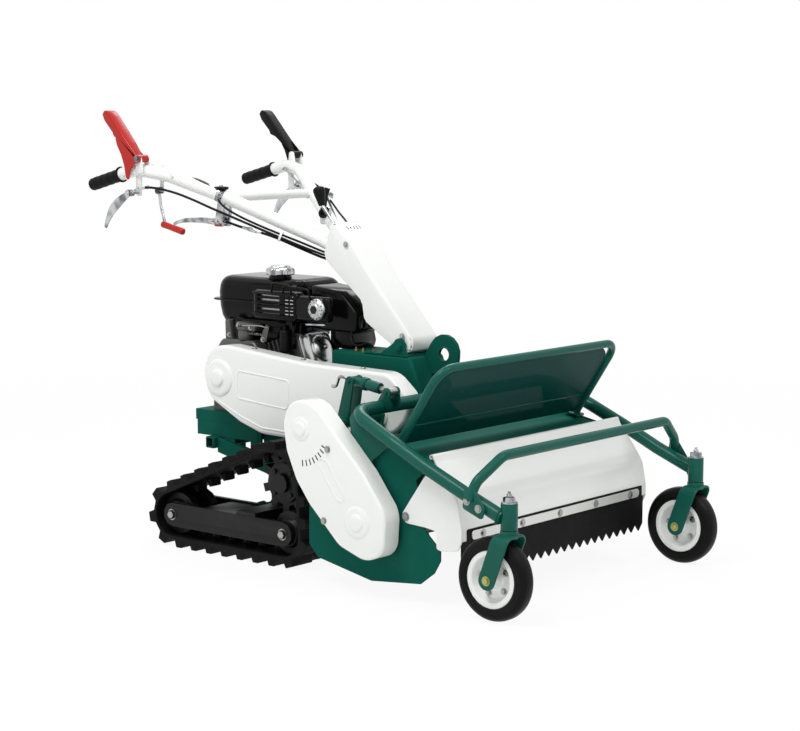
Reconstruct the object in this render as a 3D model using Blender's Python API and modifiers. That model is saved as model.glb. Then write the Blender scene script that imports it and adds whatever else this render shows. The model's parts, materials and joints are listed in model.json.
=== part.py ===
# Hammer knife mower on rubber crawlers, with a floating flail deck and swivel casters.
# Metres, +X the way it drives, +Y its left side, +Z up, the ground at Z = 0.
# Run with: blender --background --python part.py

import math

import bmesh
import bpy
from mathutils import Matrix, Vector

# Frame: sizes below are read from a datum on the ground; the model's origin lies under
# the middle of the whole machine, this far from that datum
ORIGIN_X = 0.0104
ORIGIN_Y = -0.0055

# Clearances
SEAT = 0.0003
RUNNING = 0.0006
SLIDE_GAP = 0.001

# Crawler tracks
LINK_PITCH = 0.0573
LINKS = 24
SPROCKET_TEETH = 10
TRACK_CENTRE = 0.245
BELT_WIDTH = 0.160
CARCASS = 0.010
LUG_HEIGHT = 0.020
LUG_BASE = 0.032
LUG_TIP = 0.019
GUIDE_HEIGHT = 0.020
GUIDE_BASE = 0.024
GUIDE_TIP = 0.010
GUIDE_WIDTH = 0.036
IDLER_RADIUS = 0.0574
IDLER_WIDTH = 0.116
FRONT_IDLER_X = -0.050
SPROCKET_X = -0.088
SPROCKET_Z = 0.212
TRACK_PLATE = 0.012
TRACK_ARM_HALF = 0.032
AXLE_RADIUS = 0.0125

# Gearbox and main frame
GEARBOX_HALF_WIDTH = 0.100
GEARBOX_REAR = 0.166
GEARBOX_TOP = 0.300
BEAM_HALF_WIDTH = 0.070
BEAM_TOP = 0.541
BEAM_DEPTH = 0.064
BEAM_REAR = -0.106
BEAM_FRONT = 0.167
POST_FRONT = -0.045
POST_HALF_WIDTH = 0.055
LEG_BOSS = 0.036
RAIL_WIDTH = 0.025
RAIL_HEIGHT = 0.042
RAIL_REAR = -0.500
RAIL_Y = 0.0925
RAIL_TOP = [(-0.502, 0.268), (-0.300, 0.226), (-0.170, 0.226)]
RECEIVER_SIDE = 0.032
RECEIVER_WALL = 0.004
CROSS_TUBE_X = -0.270
CROSS_TUBE_RADIUS = 0.020
BED_TOP = 0.341
BED_SHEET = 0.008
LIFT_PLATE = 0.010

# Belt drive
CRANK_X = -0.435
CRANK_Z = 0.447
COUNTER_X = 0.141
COUNTER_Z = 0.399
CASE_FACE_Y = -0.160
CASE_DEPTH = 0.052
CASE_SHEET = 0.003
CASE_FACE_SHEET = 0.004
CRANK_PULLEY = 0.046
COUNTER_PULLEY = 0.040
BELT_DEPTH = 0.010
BELT_ACROSS = 0.017
SHAFT_RADIUS = 0.0100

# Engine
ENGINE_PTO_Y = -0.088
ENGINE_BACK_Y = 0.085
CYLINDER_TILT = math.radians(20)
CYLINDER_REACH = 0.225
CYLINDER_HALF = 0.058
HEAD_HALF = 0.055
COVER_HALF = 0.050
FIN_COUNT = 5
TANK_X = -0.400
TANK_Y = 0.047
TANK_LENGTH = 0.330
TANK_WIDTH = 0.205
TANK_BOTTOM = 0.596
TANK_TOP = 0.716
CAP_X = -0.350
CAP_Y = -0.003
CAP_RADIUS = 0.040
CAP_HEIGHT = 0.026
MUFFLER_REAR = -0.360
MUFFLER_SPLIT = -0.200
MUFFLER_FRONT = -0.088
OUTLET_X = -0.120
MUFFLER_Y = TANK_Y - TANK_WIDTH / 2 - 0.0445
MUFFLER_Z = 0.650
MUFFLER_HALF = 0.040
GUARD_SLOTS = 5

# Handle column and handlebars
HINGE_X = 0.127
HINGE_Z = 0.564
LEVER_X = -0.574
LEVER_Z = 1.044
LEVER_PIN = 0.004
COLUMN_HALF = 0.055
COLUMN_SHEET = 0.002
HANDLE_TUBE = 0.0175
CROSSBAR_TUBE = 0.0125
GRIP_Y = 0.300
BAR_Y = 0.174
GRIP_START = (-0.655, 0, 1.0008)
GRIP_END = (-0.772, 0, 0.9706)
GRIP_RADIUS = 0.018
GRIP_BAR = 0.0145
SIDE_CLUTCH = (-0.591, GRIP_Y + 0.033, 0.952)
LATCH = (-0.545, -GRIP_Y + 0.030, 0.958)
KNIFE_CLUTCH = (-0.410, -BAR_Y + 0.004, 0.874)
SHIFT = (-0.120, 0.0, 0.835)
THROTTLE = (-0.262, 0.075, 0.892)

# Flail deck
DECK_HALF = 0.388
HOOD_HALF = DECK_HALF + 0.002
HOOD_X = 0.424
HOOD_Z = 0.208
LEFT_ARM_Y = BEAM_HALF_WIDTH + 0.010
DECK_CASE_GAP = 0.012
CASE_POSTS = ((0.214, 0.314), (0.250, 0.273))
DECK_PLATE = 0.004
ROOF_SHEET = 0.003
ROTOR_X = 0.323
ROTOR_Z = 0.189
ROTOR_TUBE = 0.036
ROTOR_SHAFT = 0.015
KNIFE_REACH = 0.142
KNIVES = 8
DECK_CASE_BACK_Y = -DECK_HALF - DECK_CASE_GAP
DECK_CASE_DEPTH = 0.055
ROTOR_PULLEY = 0.052
DECK_PULLEY = 0.046
COUNTER_TUBE = 0.0175
COUNTER_TUBE_INNER = 0.0142
HOOD_SHEET = 0.003
FLAP_SHEET = 0.005
FLAP_TEETH = 23
STRIP_HEIGHT = 0.022
STRIP_LENGTH = 2 * DECK_HALF - 0.066
GUARD_HALF = DECK_HALF - 0.018
GUARD_FOOT = (0.3792, 0.3665)
GUARD_HEAD = (0.512, 0.568)
GUARD_BEND = 0.05
GUARD_TUBE = 0.0105
GUARD_SHEET = 0.003

# Caster frame
FRAME_PIVOT_X = 0.280
FRAME_PIVOT_Z = 0.330
JACK_REAR = (0.163, 0.503)
JACK_FRONT = (0.284, 0.485)
JACK_LENGTH = math.dist(JACK_REAR, JACK_FRONT)
CASTER_X = 0.740
CASTER_Y = DECK_HALF + 0.013
CASTER_TRAIL = 0.038
CASTER_WHEEL = 0.100
CASTER_TYRE = 0.048
CASTER_TUBE = 0.020
CASTER_TUBE_TOP = 0.282
CASTER_TUBE_FOOT = 0.219
FRAME_TUBE = 0.017
WING_Y = DECK_HALF + 0.0055
WING_SHEET = 0.005
FRONT_BAR_TUBE = 0.0125
JACK_Y = -DECK_HALF + 0.108
JACK_TUBE = 0.014
JACK_PIN = 0.0045
PIN_PLAY = 0.0009
JACK_EAR_HALF = 0.018

# Places of the three track wheels, worked out from the belt's length
IDLER_LINE = IDLER_RADIUS + SEAT * 2 + CARCASS / 2
SPROCKET_LINE = SPROCKET_TEETH * LINK_PITCH / math.tau
IDLER_Z = IDLER_LINE + CARCASS / 2 + LUG_HEIGHT


def clear_scene():
    for item in list(bpy.data.objects):
        bpy.data.objects.remove(item, do_unlink=True)


def collection(name):
    made = bpy.data.collections.new(name)
    bpy.context.scene.collection.children.link(made)
    return made


clear_scene()
PARTS = collection("hammer_knife_mower")
CUTTERS = collection("cutters")
ROOT = bpy.data.objects.new("machine_datum", None)
ROOT.location = (-ORIGIN_X, -ORIGIN_Y, 0)
PARTS.objects.link(ROOT)


# Materials
def material(name, colour, roughness, metallic=0.0):
    made = bpy.data.materials.new(name)
    made.use_nodes = True
    shader = made.node_tree.nodes["Principled BSDF"]
    shader.inputs["Base Color"].default_value = (*colour, 1)
    shader.inputs["Roughness"].default_value = roughness
    shader.inputs["Metallic"].default_value = metallic
    made.diffuse_color = (*colour, 1)
    return made


GREEN = ("green_paint", (0.018, 0.150, 0.110), 0.35, 0.0)
WHITE = ("white_paint", (0.80, 0.80, 0.77), 0.35, 0.0)
BLACK = ("black_paint", (0.012, 0.012, 0.013), 0.35, 0.0)
RUBBER = ("black_rubber", (0.016, 0.016, 0.016), 0.75, 0.0)
RED = ("red_plastic", (0.53, 0.040, 0.030), 0.45, 0.0)
PLASTIC = ("black_plastic", (0.014, 0.014, 0.015), 0.45, 0.0)
CHROME = ("chrome", (0.72, 0.72, 0.74), 0.12, 1.0)
STEEL = ("steel", (0.45, 0.45, 0.46), 0.40, 1.0)
CAST = ("cast_aluminium", (0.50, 0.50, 0.51), 0.45, 1.0)


# Mesh helpers
def link(item, home):
    home.objects.link(item)
    item.parent = ROOT
    return item


def node(name, mesh, finish, pivot=(0, 0, 0)):
    """One sub-part as an object of its own, its origin moved to pivot, its own material."""
    mesh.transform(Matrix.Translation(-Vector(pivot)))
    item = bpy.data.objects.new(name, mesh)
    item.location = pivot
    mesh.materials.clear()
    mesh.materials.append(material(name + "_" + finish[0], *finish[1:]))
    mesh.shade_smooth()
    mesh.set_sharp_from_angle(angle=math.radians(32))
    return link(item, PARTS)


def helper(mesh, name="shape"):
    item = link(bpy.data.objects.new(name, mesh), CUTTERS)
    item.hide_render = True
    item.display_type = "WIRE"
    return item


def boolean(item, operation, meshes):
    for mesh in meshes:
        step = item.modifiers.new(operation.lower(), "BOOLEAN")
        step.operation = operation
        step.object = helper(mesh, item.name + "_" + operation.lower())
    return item


def mesh_of(build):
    """A mesh from a bmesh that build fills, its normals facing out."""
    made = bpy.data.meshes.new("mesh")
    work = bmesh.new()
    build(work)
    bmesh.ops.recalc_face_normals(work, faces=work.faces)
    work.to_mesh(made)
    work.free()
    return made


def box(low, high):
    def build(work):
        bmesh.ops.create_cube(work, size=1)
        middle = (Vector(low) + Vector(high)) / 2
        size = Vector(high) - Vector(low)
        bmesh.ops.transform(work, verts=work.verts, matrix=Matrix.Translation(middle) @ Matrix.Diagonal((*size, 1)))
    return mesh_of(build)


def rod(start, end, radius, sides=8, tip=None):
    """A round bar between two points; tip gives the far end another radius."""
    start, end = Vector(start), Vector(end)

    def build(work):
        bmesh.ops.create_cone(
            work, cap_ends=True, segments=sides, radius1=radius,
            radius2=radius if tip is None else tip, depth=(end - start).length,
        )
        turn = (end - start).to_track_quat("Z", "Y").to_matrix().to_4x4()
        bmesh.ops.transform(work, verts=work.verts, matrix=Matrix.Translation((start + end) / 2) @ turn)
    return mesh_of(build)


def across(x, z, y0, y1, radius, sides=10):
    """A round bar along Y."""
    return rod((x, y0, z), (x, y1, z), radius, sides)


def from_curve(curve):
    """The closed mesh of a curve object, its caps welded; the curve is removed."""
    item = bpy.data.objects.new("curve", curve)
    bpy.context.scene.collection.objects.link(item)
    graph = bpy.context.evaluated_depsgraph_get()
    made = bpy.data.meshes.new_from_object(item.evaluated_get(graph))
    work = bmesh.new()
    work.from_mesh(made)
    bmesh.ops.remove_doubles(work, verts=work.verts, dist=1e-5)
    bmesh.ops.recalc_face_normals(work, faces=work.faces)
    work.to_mesh(made)
    work.free()
    bpy.data.objects.remove(item, do_unlink=True)
    return made


def plate(outline, y0, y1, holes=()):
    """A flat outline in X and Z, from y0 to y1; each hole is another outline."""
    curve = bpy.data.curves.new("outline", "CURVE")
    curve.dimensions = "2D"
    curve.fill_mode = "BOTH"
    curve.extrude = (y1 - y0) / 2
    for points in (outline, *holes):
        spline = curve.splines.new("POLY")
        spline.points.add(len(points) - 1)
        for point, (x, z) in zip(spline.points, points):
            point.co = (x, z, 0, 1)
        spline.use_cyclic_u = True
    made = from_curve(curve)
    made.transform(Matrix.Translation((0, (y0 + y1) / 2, 0)) @ Matrix.Rotation(math.pi / 2, 4, "X"))
    return made


def tube(points, radius, bend=0.04, smooth=0):
    """A bent tube through the points, with round bends and filled ends."""
    curve = bpy.data.curves.new("tube", "CURVE")
    curve.dimensions = "3D"
    curve.bevel_depth = radius
    curve.bevel_resolution = smooth + 1
    curve.use_fill_caps = True
    path = rounded(points, bend, 2 + smooth)
    spline = curve.splines.new("POLY")
    spline.points.add(len(path) - 1)
    for point, place in zip(spline.points, path):
        point.co = (*place, 1)
    return from_curve(curve)


def turned(profile, base, axis, steps=14, ring=False):
    """A turned shape: the profile's (radius, height) pairs run from its top to its foot."""
    made = bpy.data.meshes.new("profile")
    edges = [(i, i + 1) for i in range(len(profile) - 1)]
    if ring:
        edges.append((len(profile) - 1, 0))
    made.from_pydata([(r, 0, h) for r, h in profile], edges, [])
    item = bpy.data.objects.new("profile", made)
    bpy.context.scene.collection.objects.link(item)
    screw = item.modifiers.new("turn", "SCREW")
    screw.steps = screw.render_steps = steps
    screw.use_merge_vertices = True
    screw.merge_threshold = 1e-5
    graph = bpy.context.evaluated_depsgraph_get()
    solid = bpy.data.meshes.new_from_object(item.evaluated_get(graph))
    bpy.data.objects.remove(item, do_unlink=True)
    work = bmesh.new()
    work.from_mesh(solid)
    bmesh.ops.remove_doubles(work, verts=work.verts, dist=1e-6)
    bmesh.ops.recalc_face_normals(work, faces=work.faces)
    work.to_mesh(solid)
    work.free()
    turn = Vector(axis).to_track_quat("Z", "Y").to_matrix().to_4x4()
    solid.transform(Matrix.Translation(base) @ turn)
    return solid


# Outline helpers
def arc(x, z, radius, start, end, steps):
    """Points on a round stretch, angles in degrees."""
    angles = [math.radians(start + (end - start) * i / steps) for i in range(steps + 1)]
    return [(x + radius * math.cos(a), z + radius * math.sin(a)) for a in angles]


def rounded(points, radius, steps=3, closed=False):
    """The path with each inner corner replaced by an arc; radius is one value or one for each corner."""
    places = [Vector(p) for p in points]
    count = len(places)
    radii = radius if isinstance(radius, (list, tuple)) else [radius] * count
    path = []
    for i, here in enumerate(places):
        if not closed and i in (0, count - 1) or radii[i] == 0:
            path.append(tuple(here))
            continue
        to_last = (places[i - 1] - here)
        to_next = (places[(i + 1) % count] - here)
        half = to_last.angle(to_next) / 2
        reach = min(radii[i] / math.tan(half), to_last.length * 0.49, to_next.length * 0.49)
        start = here + to_last.normalized() * reach
        end = here + to_next.normalized() * reach
        for k in range(steps + 1):
            t = k / steps
            path.append(tuple(start * (1 - t) ** 2 + here * 2 * t * (1 - t) + end * t * t))
    return path


def inset(points, distance):
    """The outline moved inwards; it runs anticlockwise in X and Z."""
    count = len(points)
    moved = []
    for i in range(count):
        before, here, after = (Vector(points[(i + k) % count]) for k in (-1, 0, 1))
        first = (here - before).normalized()
        second = (after - here).normalized()
        side = Vector((-first.y - second.y, first.x + second.x))
        cosine = 1 + first.dot(second)
        moved.append(tuple(here + side * distance / max(cosine, 0.3)))
    return moved


def strip(points, sheet):
    """The outline of a bent sheet that follows the points, on their inner side."""
    inner = []
    for i, here in enumerate(points):
        before = Vector(points[max(i - 1, 0)])
        after = Vector(points[min(i + 1, len(points) - 1)])
        along = (after - before).normalized()
        inner.append((here[0] - along.y * sheet, here[1] + along.x * sheet))
    return list(points) + inner[::-1]


# Crawler belt: one loop round the rear idler, the front idler and the sprocket
def loop_segments(rear_x):
    """Arcs and straight runs of the belt's middle line, anticlockwise seen from the right side."""
    wheels = [
        (Vector((rear_x, IDLER_Z)), IDLER_LINE),
        (Vector((FRONT_IDLER_X, IDLER_Z)), IDLER_LINE),
        (Vector((SPROCKET_X, SPROCKET_Z)), SPROCKET_LINE),
    ]
    normals = []
    for i, (middle, radius) in enumerate(wheels):
        other, far_radius = wheels[(i + 1) % 3]
        gap = other - middle
        normals.append(math.atan2(gap.y, gap.x) - math.acos((radius - far_radius) / gap.length))
    segments = []
    for i, (middle, radius) in enumerate(wheels):
        start = normals[i - 1]
        sweep = (normals[i] - start) % math.tau
        segments.append(("arc", middle, radius, start, sweep, radius * sweep))
        other, far_radius = wheels[(i + 1) % 3]
        out = Vector((math.cos(normals[i]), math.sin(normals[i])))
        first = middle + out * radius
        last = other + out * far_radius
        segments.append(("run", first, last, out, 0, (last - first).length))
    return segments


def loop_length(rear_x):
    return sum(segment[5] for segment in loop_segments(rear_x))


def rear_idler_place():
    """Where the rear idler draws the belt tight."""
    near, far = FRONT_IDLER_X - 0.1, FRONT_IDLER_X - 0.9
    for _ in range(50):
        middle = (near + far) / 2
        if loop_length(middle) < LINKS * LINK_PITCH:
            near = middle
        else:
            far = middle
    return middle


REAR_IDLER_X = rear_idler_place()
SEGMENTS = loop_segments(REAR_IDLER_X)


def on_loop(s, offset):
    """The point at length s along the belt's middle line, moved outwards by offset."""
    s %= LINKS * LINK_PITCH
    for kind, a, b, c, d, length in SEGMENTS:
        if s > length:
            s -= length
            continue
        if kind == "arc":
            angle = c + s / b
            return a + Vector((math.cos(angle), math.sin(angle))) * (b + offset)
        return a + (b - a) * (s / length) + c * offset
    return on_loop(0, offset)


SPROCKET_START = sum(segment[5] for segment in SEGMENTS[:4])
SPROCKET_TURN = SEGMENTS[4][3] - SPROCKET_START / SPROCKET_LINE


def tread(row):
    """The outer line of one row of lugs, as (length, offset) pairs; the rows are half a link apart."""
    line = []
    for link_number in range(LINKS):
        middle = (link_number + row / 2) * LINK_PITCH
        for place, offset in ((-LUG_BASE / 2, 0), (-LUG_TIP / 2, LUG_HEIGHT), (LUG_TIP / 2, LUG_HEIGHT), (LUG_BASE / 2, 0)):
            line.append((middle + place, CARCASS / 2 + offset))
    return line


def inner_line():
    """The belt's flat inner line, close enough spaced to lie round the wheels."""
    return [((k + 0.5) * LINK_PITCH / 4, -CARCASS / 2) for k in range(LINKS * 4)]


def new_row(work, line, y):
    return [(s, work.verts.new((p.x, y, p.y))) for s, p in ((s, on_loop(s, offset)) for s, offset in line)]


def bridge(work, first, second):
    """Faces between two closed rows whose points lie at unlike lengths along the loop."""
    i = k = 0
    while i < len(first) or k < len(second):
        a, b = first[i % len(first)][1], second[k % len(second)][1]
        ahead_a = first[i % len(first)][0] if i < len(first) else math.inf
        ahead_b = second[k % len(second)][0] if k < len(second) else math.inf
        if ahead_a <= ahead_b:
            work.faces.new((a, first[(i + 1) % len(first)][1], b))
            i += 1
        else:
            work.faces.new((a, second[(k + 1) % len(second)][1], b))
            k += 1


def guide_teeth():
    """The row of guide teeth, their feet sunk in the carcass."""
    half = GUIDE_WIDTH / 2

    def build(work):
        for link_number in range(LINKS):
            middle = link_number * LINK_PITCH
            corners = []
            for place, offset in (
                (-GUIDE_BASE / 2, 0.002), (-GUIDE_TIP / 2, -GUIDE_HEIGHT), (GUIDE_TIP / 2, -GUIDE_HEIGHT), (GUIDE_BASE / 2, 0.002),
            ):
                corners.append(on_loop(middle + place, offset - CARCASS / 2))
            near, far = (
                [work.verts.new((p.x, TRACK_CENTRE + y, p.y)) for p in corners] for y in (-half, half)
            )
            work.faces.new(near)
            work.faces.new(far)
            for k in range(4):
                work.faces.new((near[k], near[(k + 1) % 4], far[(k + 1) % 4], far[k]))
    return mesh_of(build)


def track_belt():
    """Left side, the rubber belt: two staggered rows of tread lugs outside, one row of guide teeth inside."""
    half = BELT_WIDTH / 2
    draft = 0.004

    def build(work):
        rows = [
            new_row(work, line, TRACK_CENTRE + y) for line, y in (
                (tread(0), -half), (tread(0), -draft), (tread(1), draft), (tread(1), half),
                (inner_line(), half), (inner_line(), -half),
            )
        ]
        for first, second in zip(rows, rows[1:] + rows[:1]):
            bridge(work, first, second)
    return solid(mesh_of(build), guide_teeth())


def idler(x):
    """Left side, a turned track roller with a groove that the guide teeth run in."""
    half = IDLER_WIDTH / 2
    groove = GUIDE_WIDTH / 2 + 0.006
    waist = IDLER_RADIUS - GUIDE_HEIGHT - 0.004
    bore = AXLE_RADIUS + RUNNING
    rim = half - 0.012
    side = [(bore, half), (0.034, half), (0.040, rim), (IDLER_RADIUS, rim), (IDLER_RADIUS, groove), (waist, groove - 0.004)]
    profile = side + [(r, -h) for r, h in side[::-1]]
    return turned(profile, (x, TRACK_CENTRE, IDLER_Z), (0, 1, 0), 14, ring=True)


def sprocket_wheel():
    """The toothed disc; its gullets clear the belt's guide teeth."""
    crown = SPROCKET_LINE - CARCASS / 2 - 0.0015
    root = crown - GUIDE_HEIGHT - 0.003
    half_gap = (GUIDE_BASE / 2 + 0.0045) / SPROCKET_LINE
    half_foot = (GUIDE_TIP / 2 + 0.0050) / (SPROCKET_LINE - GUIDE_HEIGHT)
    outline = []
    for tooth in range(SPROCKET_TEETH):
        middle = SPROCKET_TURN + tooth * math.tau / SPROCKET_TEETH
        next_middle = middle + math.tau / SPROCKET_TEETH
        for angle, radius in (
            (middle - half_foot, root), (middle + half_foot, root), (middle + half_gap, crown), (next_middle - half_gap, crown),
        ):
            outline.append((SPROCKET_X + radius * math.cos(angle), SPROCKET_Z + radius * math.sin(angle)))
    half = GUIDE_WIDTH / 2
    return plate(outline, TRACK_CENTRE - half, TRACK_CENTRE + half)


def softened(mesh, width, steps=1, above=40):
    """The mesh with every edge sharper than the given angle rounded off."""
    work = bmesh.new()
    work.from_mesh(mesh)
    bmesh.ops.dissolve_limit(work, angle_limit=0.001, verts=work.verts, edges=work.edges)
    limit = math.radians(above)
    edges = [e for e in work.edges if len(e.link_faces) == 2 and e.calc_face_angle() > limit]
    bmesh.ops.bevel(
        work, geom=edges, offset=width, segments=steps, profile=0.5, affect="EDGES", clamp_overlap=True,
    )
    bmesh.ops.recalc_face_normals(work, faces=work.faces)
    work.to_mesh(mesh)
    work.free()
    return mesh


def applied(item):
    """The helper's shape with its modifiers done, as a mesh; the helper is removed."""
    graph = bpy.context.evaluated_depsgraph_get()
    made = bpy.data.meshes.new_from_object(item.evaluated_get(graph))
    for step in item.modifiers:
        bpy.data.objects.remove(step.object, do_unlink=True)
    bpy.data.objects.remove(item, do_unlink=True)
    return made


def solid(first, *more, less=()):
    """One mesh: the first with the rest welded on, and then the less shapes cut away."""
    item = helper(first, "base")
    boolean(item, "UNION", more)
    boolean(item, "DIFFERENCE", less)
    return applied(item)


def mirrored(mesh):
    """The same shape on the other side of the middle plane."""
    made = mesh.copy()
    made.transform(Matrix.Diagonal((1, -1, 1, 1)))
    made.flip_normals()
    return made


# Tracks
def track_frame():
    """Left side: twin arm plates, their spacer block and the two idler axles, welded as one piece."""
    out = TRACK_CENTRE + BELT_WIDTH / 2 - 0.004
    near = TRACK_CENTRE - BELT_WIDTH / 2 + 0.004
    arm = (
        arc(REAR_IDLER_X, IDLER_Z, TRACK_ARM_HALF, 90, 270, 5)
        + arc(FRONT_IDLER_X, IDLER_Z, TRACK_ARM_HALF, -90, 90, 5)
    )
    low = IDLER_Z - 0.022
    block = [(-0.360, low), (-0.150, low), (-0.150, 0.130), (-0.215, 0.130), (-0.222, 0.116), (-0.360, 0.116)]
    axles = [
        across(x, IDLER_Z, near - 0.001, out + 0.005, AXLE_RADIUS) for x in (REAR_IDLER_X, FRONT_IDLER_X)
    ]
    return solid(
        plate(arm, out - TRACK_PLATE, out), plate(arm, near, near + TRACK_PLATE),
        plate(block, near + 0.003, out - 0.003), *axles,
    )


def drive_sprocket():
    """Left side: teeth, bolted hub and the axle that turns in the gearbox."""
    y = TRACK_CENTRE
    flange = y + 0.032
    bolts = []
    for k in range(4):
        angle = math.pi / 4 + k * math.pi / 2
        x = SPROCKET_X + 0.040 * math.cos(angle)
        z = SPROCKET_Z + 0.040 * math.sin(angle)
        bolts.append(across(x, z, y, flange + 0.006, 0.007, 6))
    return solid(
        sprocket_wheel(), across(SPROCKET_X, SPROCKET_Z, y, flange, 0.054, 16),
        across(SPROCKET_X, SPROCKET_Z, GEARBOX_HALF_WIDTH + SLIDE_GAP, flange + 0.014, 0.026),
        across(SPROCKET_X, SPROCKET_Z, GEARBOX_HALF_WIDTH - 0.030, flange, 0.018), *bolts,
    )


def sided(build, name, finish, x, z, y=TRACK_CENTRE):
    """A left piece and its right twin, each with its origin on its own axis."""
    left = build()
    node(name + "_right", mirrored(left), finish, (x, -y, z))
    node(name + "_left", left, finish, (x, y, z))


def tracks():
    sided(track_belt, "track_belt", RUBBER, 0, 0, 0)
    sided(lambda: idler(REAR_IDLER_X), "rear_idler", BLACK, REAR_IDLER_X, IDLER_Z)
    sided(lambda: idler(FRONT_IDLER_X), "front_idler", BLACK, FRONT_IDLER_X, IDLER_Z)
    sided(drive_sprocket, "drive_sprocket", BLACK, SPROCKET_X, SPROCKET_Z)
    sided(track_frame, "track_frame", BLACK, 0, 0, 0)


# Chassis
def main_frame():
    """Beam with its mitred front leg, the post, the pivot tube and the lifting plate, all welded."""
    low = BEAM_TOP - BEAM_DEPTH
    beam = [
        (BEAM_REAR, low), (0.123, low), (0.160, 0.434), (0.122, 0.328), (0.172, 0.328),
        (0.203, 0.455), (BEAM_FRONT, BEAM_TOP), (BEAM_REAR, BEAM_TOP),
    ]
    half = BEAM_HALF_WIDTH
    body = softened(plate(beam, -half, half), 0.006)
    post = softened(box((BEAM_REAR + 0.004, -POST_HALF_WIDTH, GEARBOX_TOP + SEAT), (POST_FRONT, POST_HALF_WIDTH, low + 0.010)), 0.005)
    foot = box((BEAM_REAR - 0.010, -0.075, GEARBOX_TOP + SEAT), (POST_FRONT + 0.015, 0.075, GEARBOX_TOP + 0.010))
    lift = [(0.160, 0.500), (0.236, 0.490), (0.270, 0.512)] + arc(0.228, 0.552, 0.048, -15, 150, 7) + [(0.160, 0.535)]
    hook = plate(lift, -LIFT_PLATE / 2, LIFT_PLATE / 2, [arc(0.228, 0.548, 0.017, 0, 330, 11)])
    inner_tube = COUNTER_TUBE_INNER
    strut = [(0.122, 0.318), (0.160, 0.318)] + arc(COUNTER_X, COUNTER_Z, 0.026, -40, 220, 5)
    tie = box((0.122, CASE_FACE_Y - 0.014, 0.312), (0.160, -half + 0.020, 0.340))
    shoulder = JACK_Y + 0.046
    outboard = across(COUNTER_X, COUNTER_Z, -DECK_HALF - 0.004, shoulder + 0.034, inner_tube)
    thick = across(COUNTER_X, COUNTER_Z, shoulder, CASE_FACE_Y - 0.002, COUNTER_TUBE)
    boss = across(COUNTER_X, COUNTER_Z, -half - 0.006, half + 0.006, LEG_BOSS, 16)
    spigot = across(COUNTER_X, COUNTER_Z, half, half + 0.036, COUNTER_TUBE + 0.006)
    bore = across(COUNTER_X, COUNTER_Z, -DECK_HALF * 2, DECK_HALF * 2, SHAFT_RADIUS + RUNNING)
    return solid(
        body, post, foot, hook, plate(strut, CASE_FACE_Y - 0.012, CASE_FACE_Y - 0.002), tie, thick, outboard,
        boss, spigot, less=[bore],
    )


def rear_frame():
    """Two rails from the gearbox back to the square receiver, and the tracks' cross tube under them."""
    rails = []
    for side in (-1, 1):
        outline = [(x, z - RAIL_HEIGHT) for x, z in RAIL_TOP] + RAIL_TOP[::-1]
        y0, y1 = sorted((side * (RAIL_Y - RAIL_WIDTH / 2), side * (RAIL_Y + RAIL_WIDTH / 2)))
        rails.append(softened(plate(outline, y0, y1), 0.003))
        hanger = [(-0.298, 0.087), (-0.242, 0.087), (-0.235, 0.200), (-0.305, 0.200)]
        rails.append(plate(hanger, side * RAIL_Y - 0.005, side * RAIL_Y + 0.005))
    x0 = RAIL_REAR - RECEIVER_SIDE
    z0 = 0.270 - RECEIVER_SIDE
    wall = RECEIVER_WALL
    tube_out = softened(box((x0, -0.121, z0), (RAIL_REAR + 0.001, 0.121, 0.270)), 0.003)
    hollow = box((x0 + wall, -0.2, z0 + wall), (RAIL_REAR - wall, 0.2, 0.270 - wall))
    foot = box((x0 + 0.003, -0.030, z0 - 0.030), (x0 + 0.011, 0.030, z0 + 0.002))
    end = TRACK_CENTRE - BELT_WIDTH / 2 + 0.004 - SEAT
    cross = across(CROSS_TUBE_X, 0.100, 0.003 - end, end - 0.003, CROSS_TUBE_RADIUS)
    rings = [
        across(CROSS_TUBE_X, 0.100, side * (end - 0.010), side * end, 0.026) for side in (-1, 1)
    ]
    front = box((-GEARBOX_REAR - 0.010, -0.108, 0.178), (-GEARBOX_REAR - SEAT, 0.108, 0.234))
    return solid(tube_out, *rails, foot, cross, *rings, front, less=[hollow])


def gearbox():
    """Cast case with round side covers, fins of its ribs and a filler plug."""
    half = GEARBOX_HALF_WIDTH
    low = 0.134
    case = [
        (-GEARBOX_REAR, 0.160), (-GEARBOX_REAR + 0.024, low), (-0.034, low), (-0.006, 0.160),
        (-0.006, 0.262), (-0.030, GEARBOX_TOP), (-0.130, GEARBOX_TOP), (-GEARBOX_REAR, 0.262),
    ]
    body = softened(plate(case, -half + 0.014, half - 0.014), 0.008)
    covers = [
        turned([(0, 0.018), (0.030, 0.018), (0.036, 0.014), (0.060, 0.010), (0.066, 0), (0.066, -0.01), (0, -0.01)],
               (SPROCKET_X, side * (half - 0.018), SPROCKET_Z), (0, side, 0))
        for side in (-1, 1)
    ]
    bores = [
        across(SPROCKET_X, SPROCKET_Z, side * (half - 0.034), side * 0.2, 0.018 + RUNNING, 20) for side in (-1, 1)
    ]
    plug = rod((-0.026, 0.04, GEARBOX_TOP - 0.02), (-0.026, 0.04, GEARBOX_TOP - 0.004), 0.010, 6)
    return solid(body, *covers, plug, less=bores)


def rail_top(x):
    """Height of the rails' sloping top behind their bend."""
    (x0, z0), (x1, z1) = RAIL_TOP[:2]
    return z0 + (z1 - z0) * (x - x0) / (x1 - x0)


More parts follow.
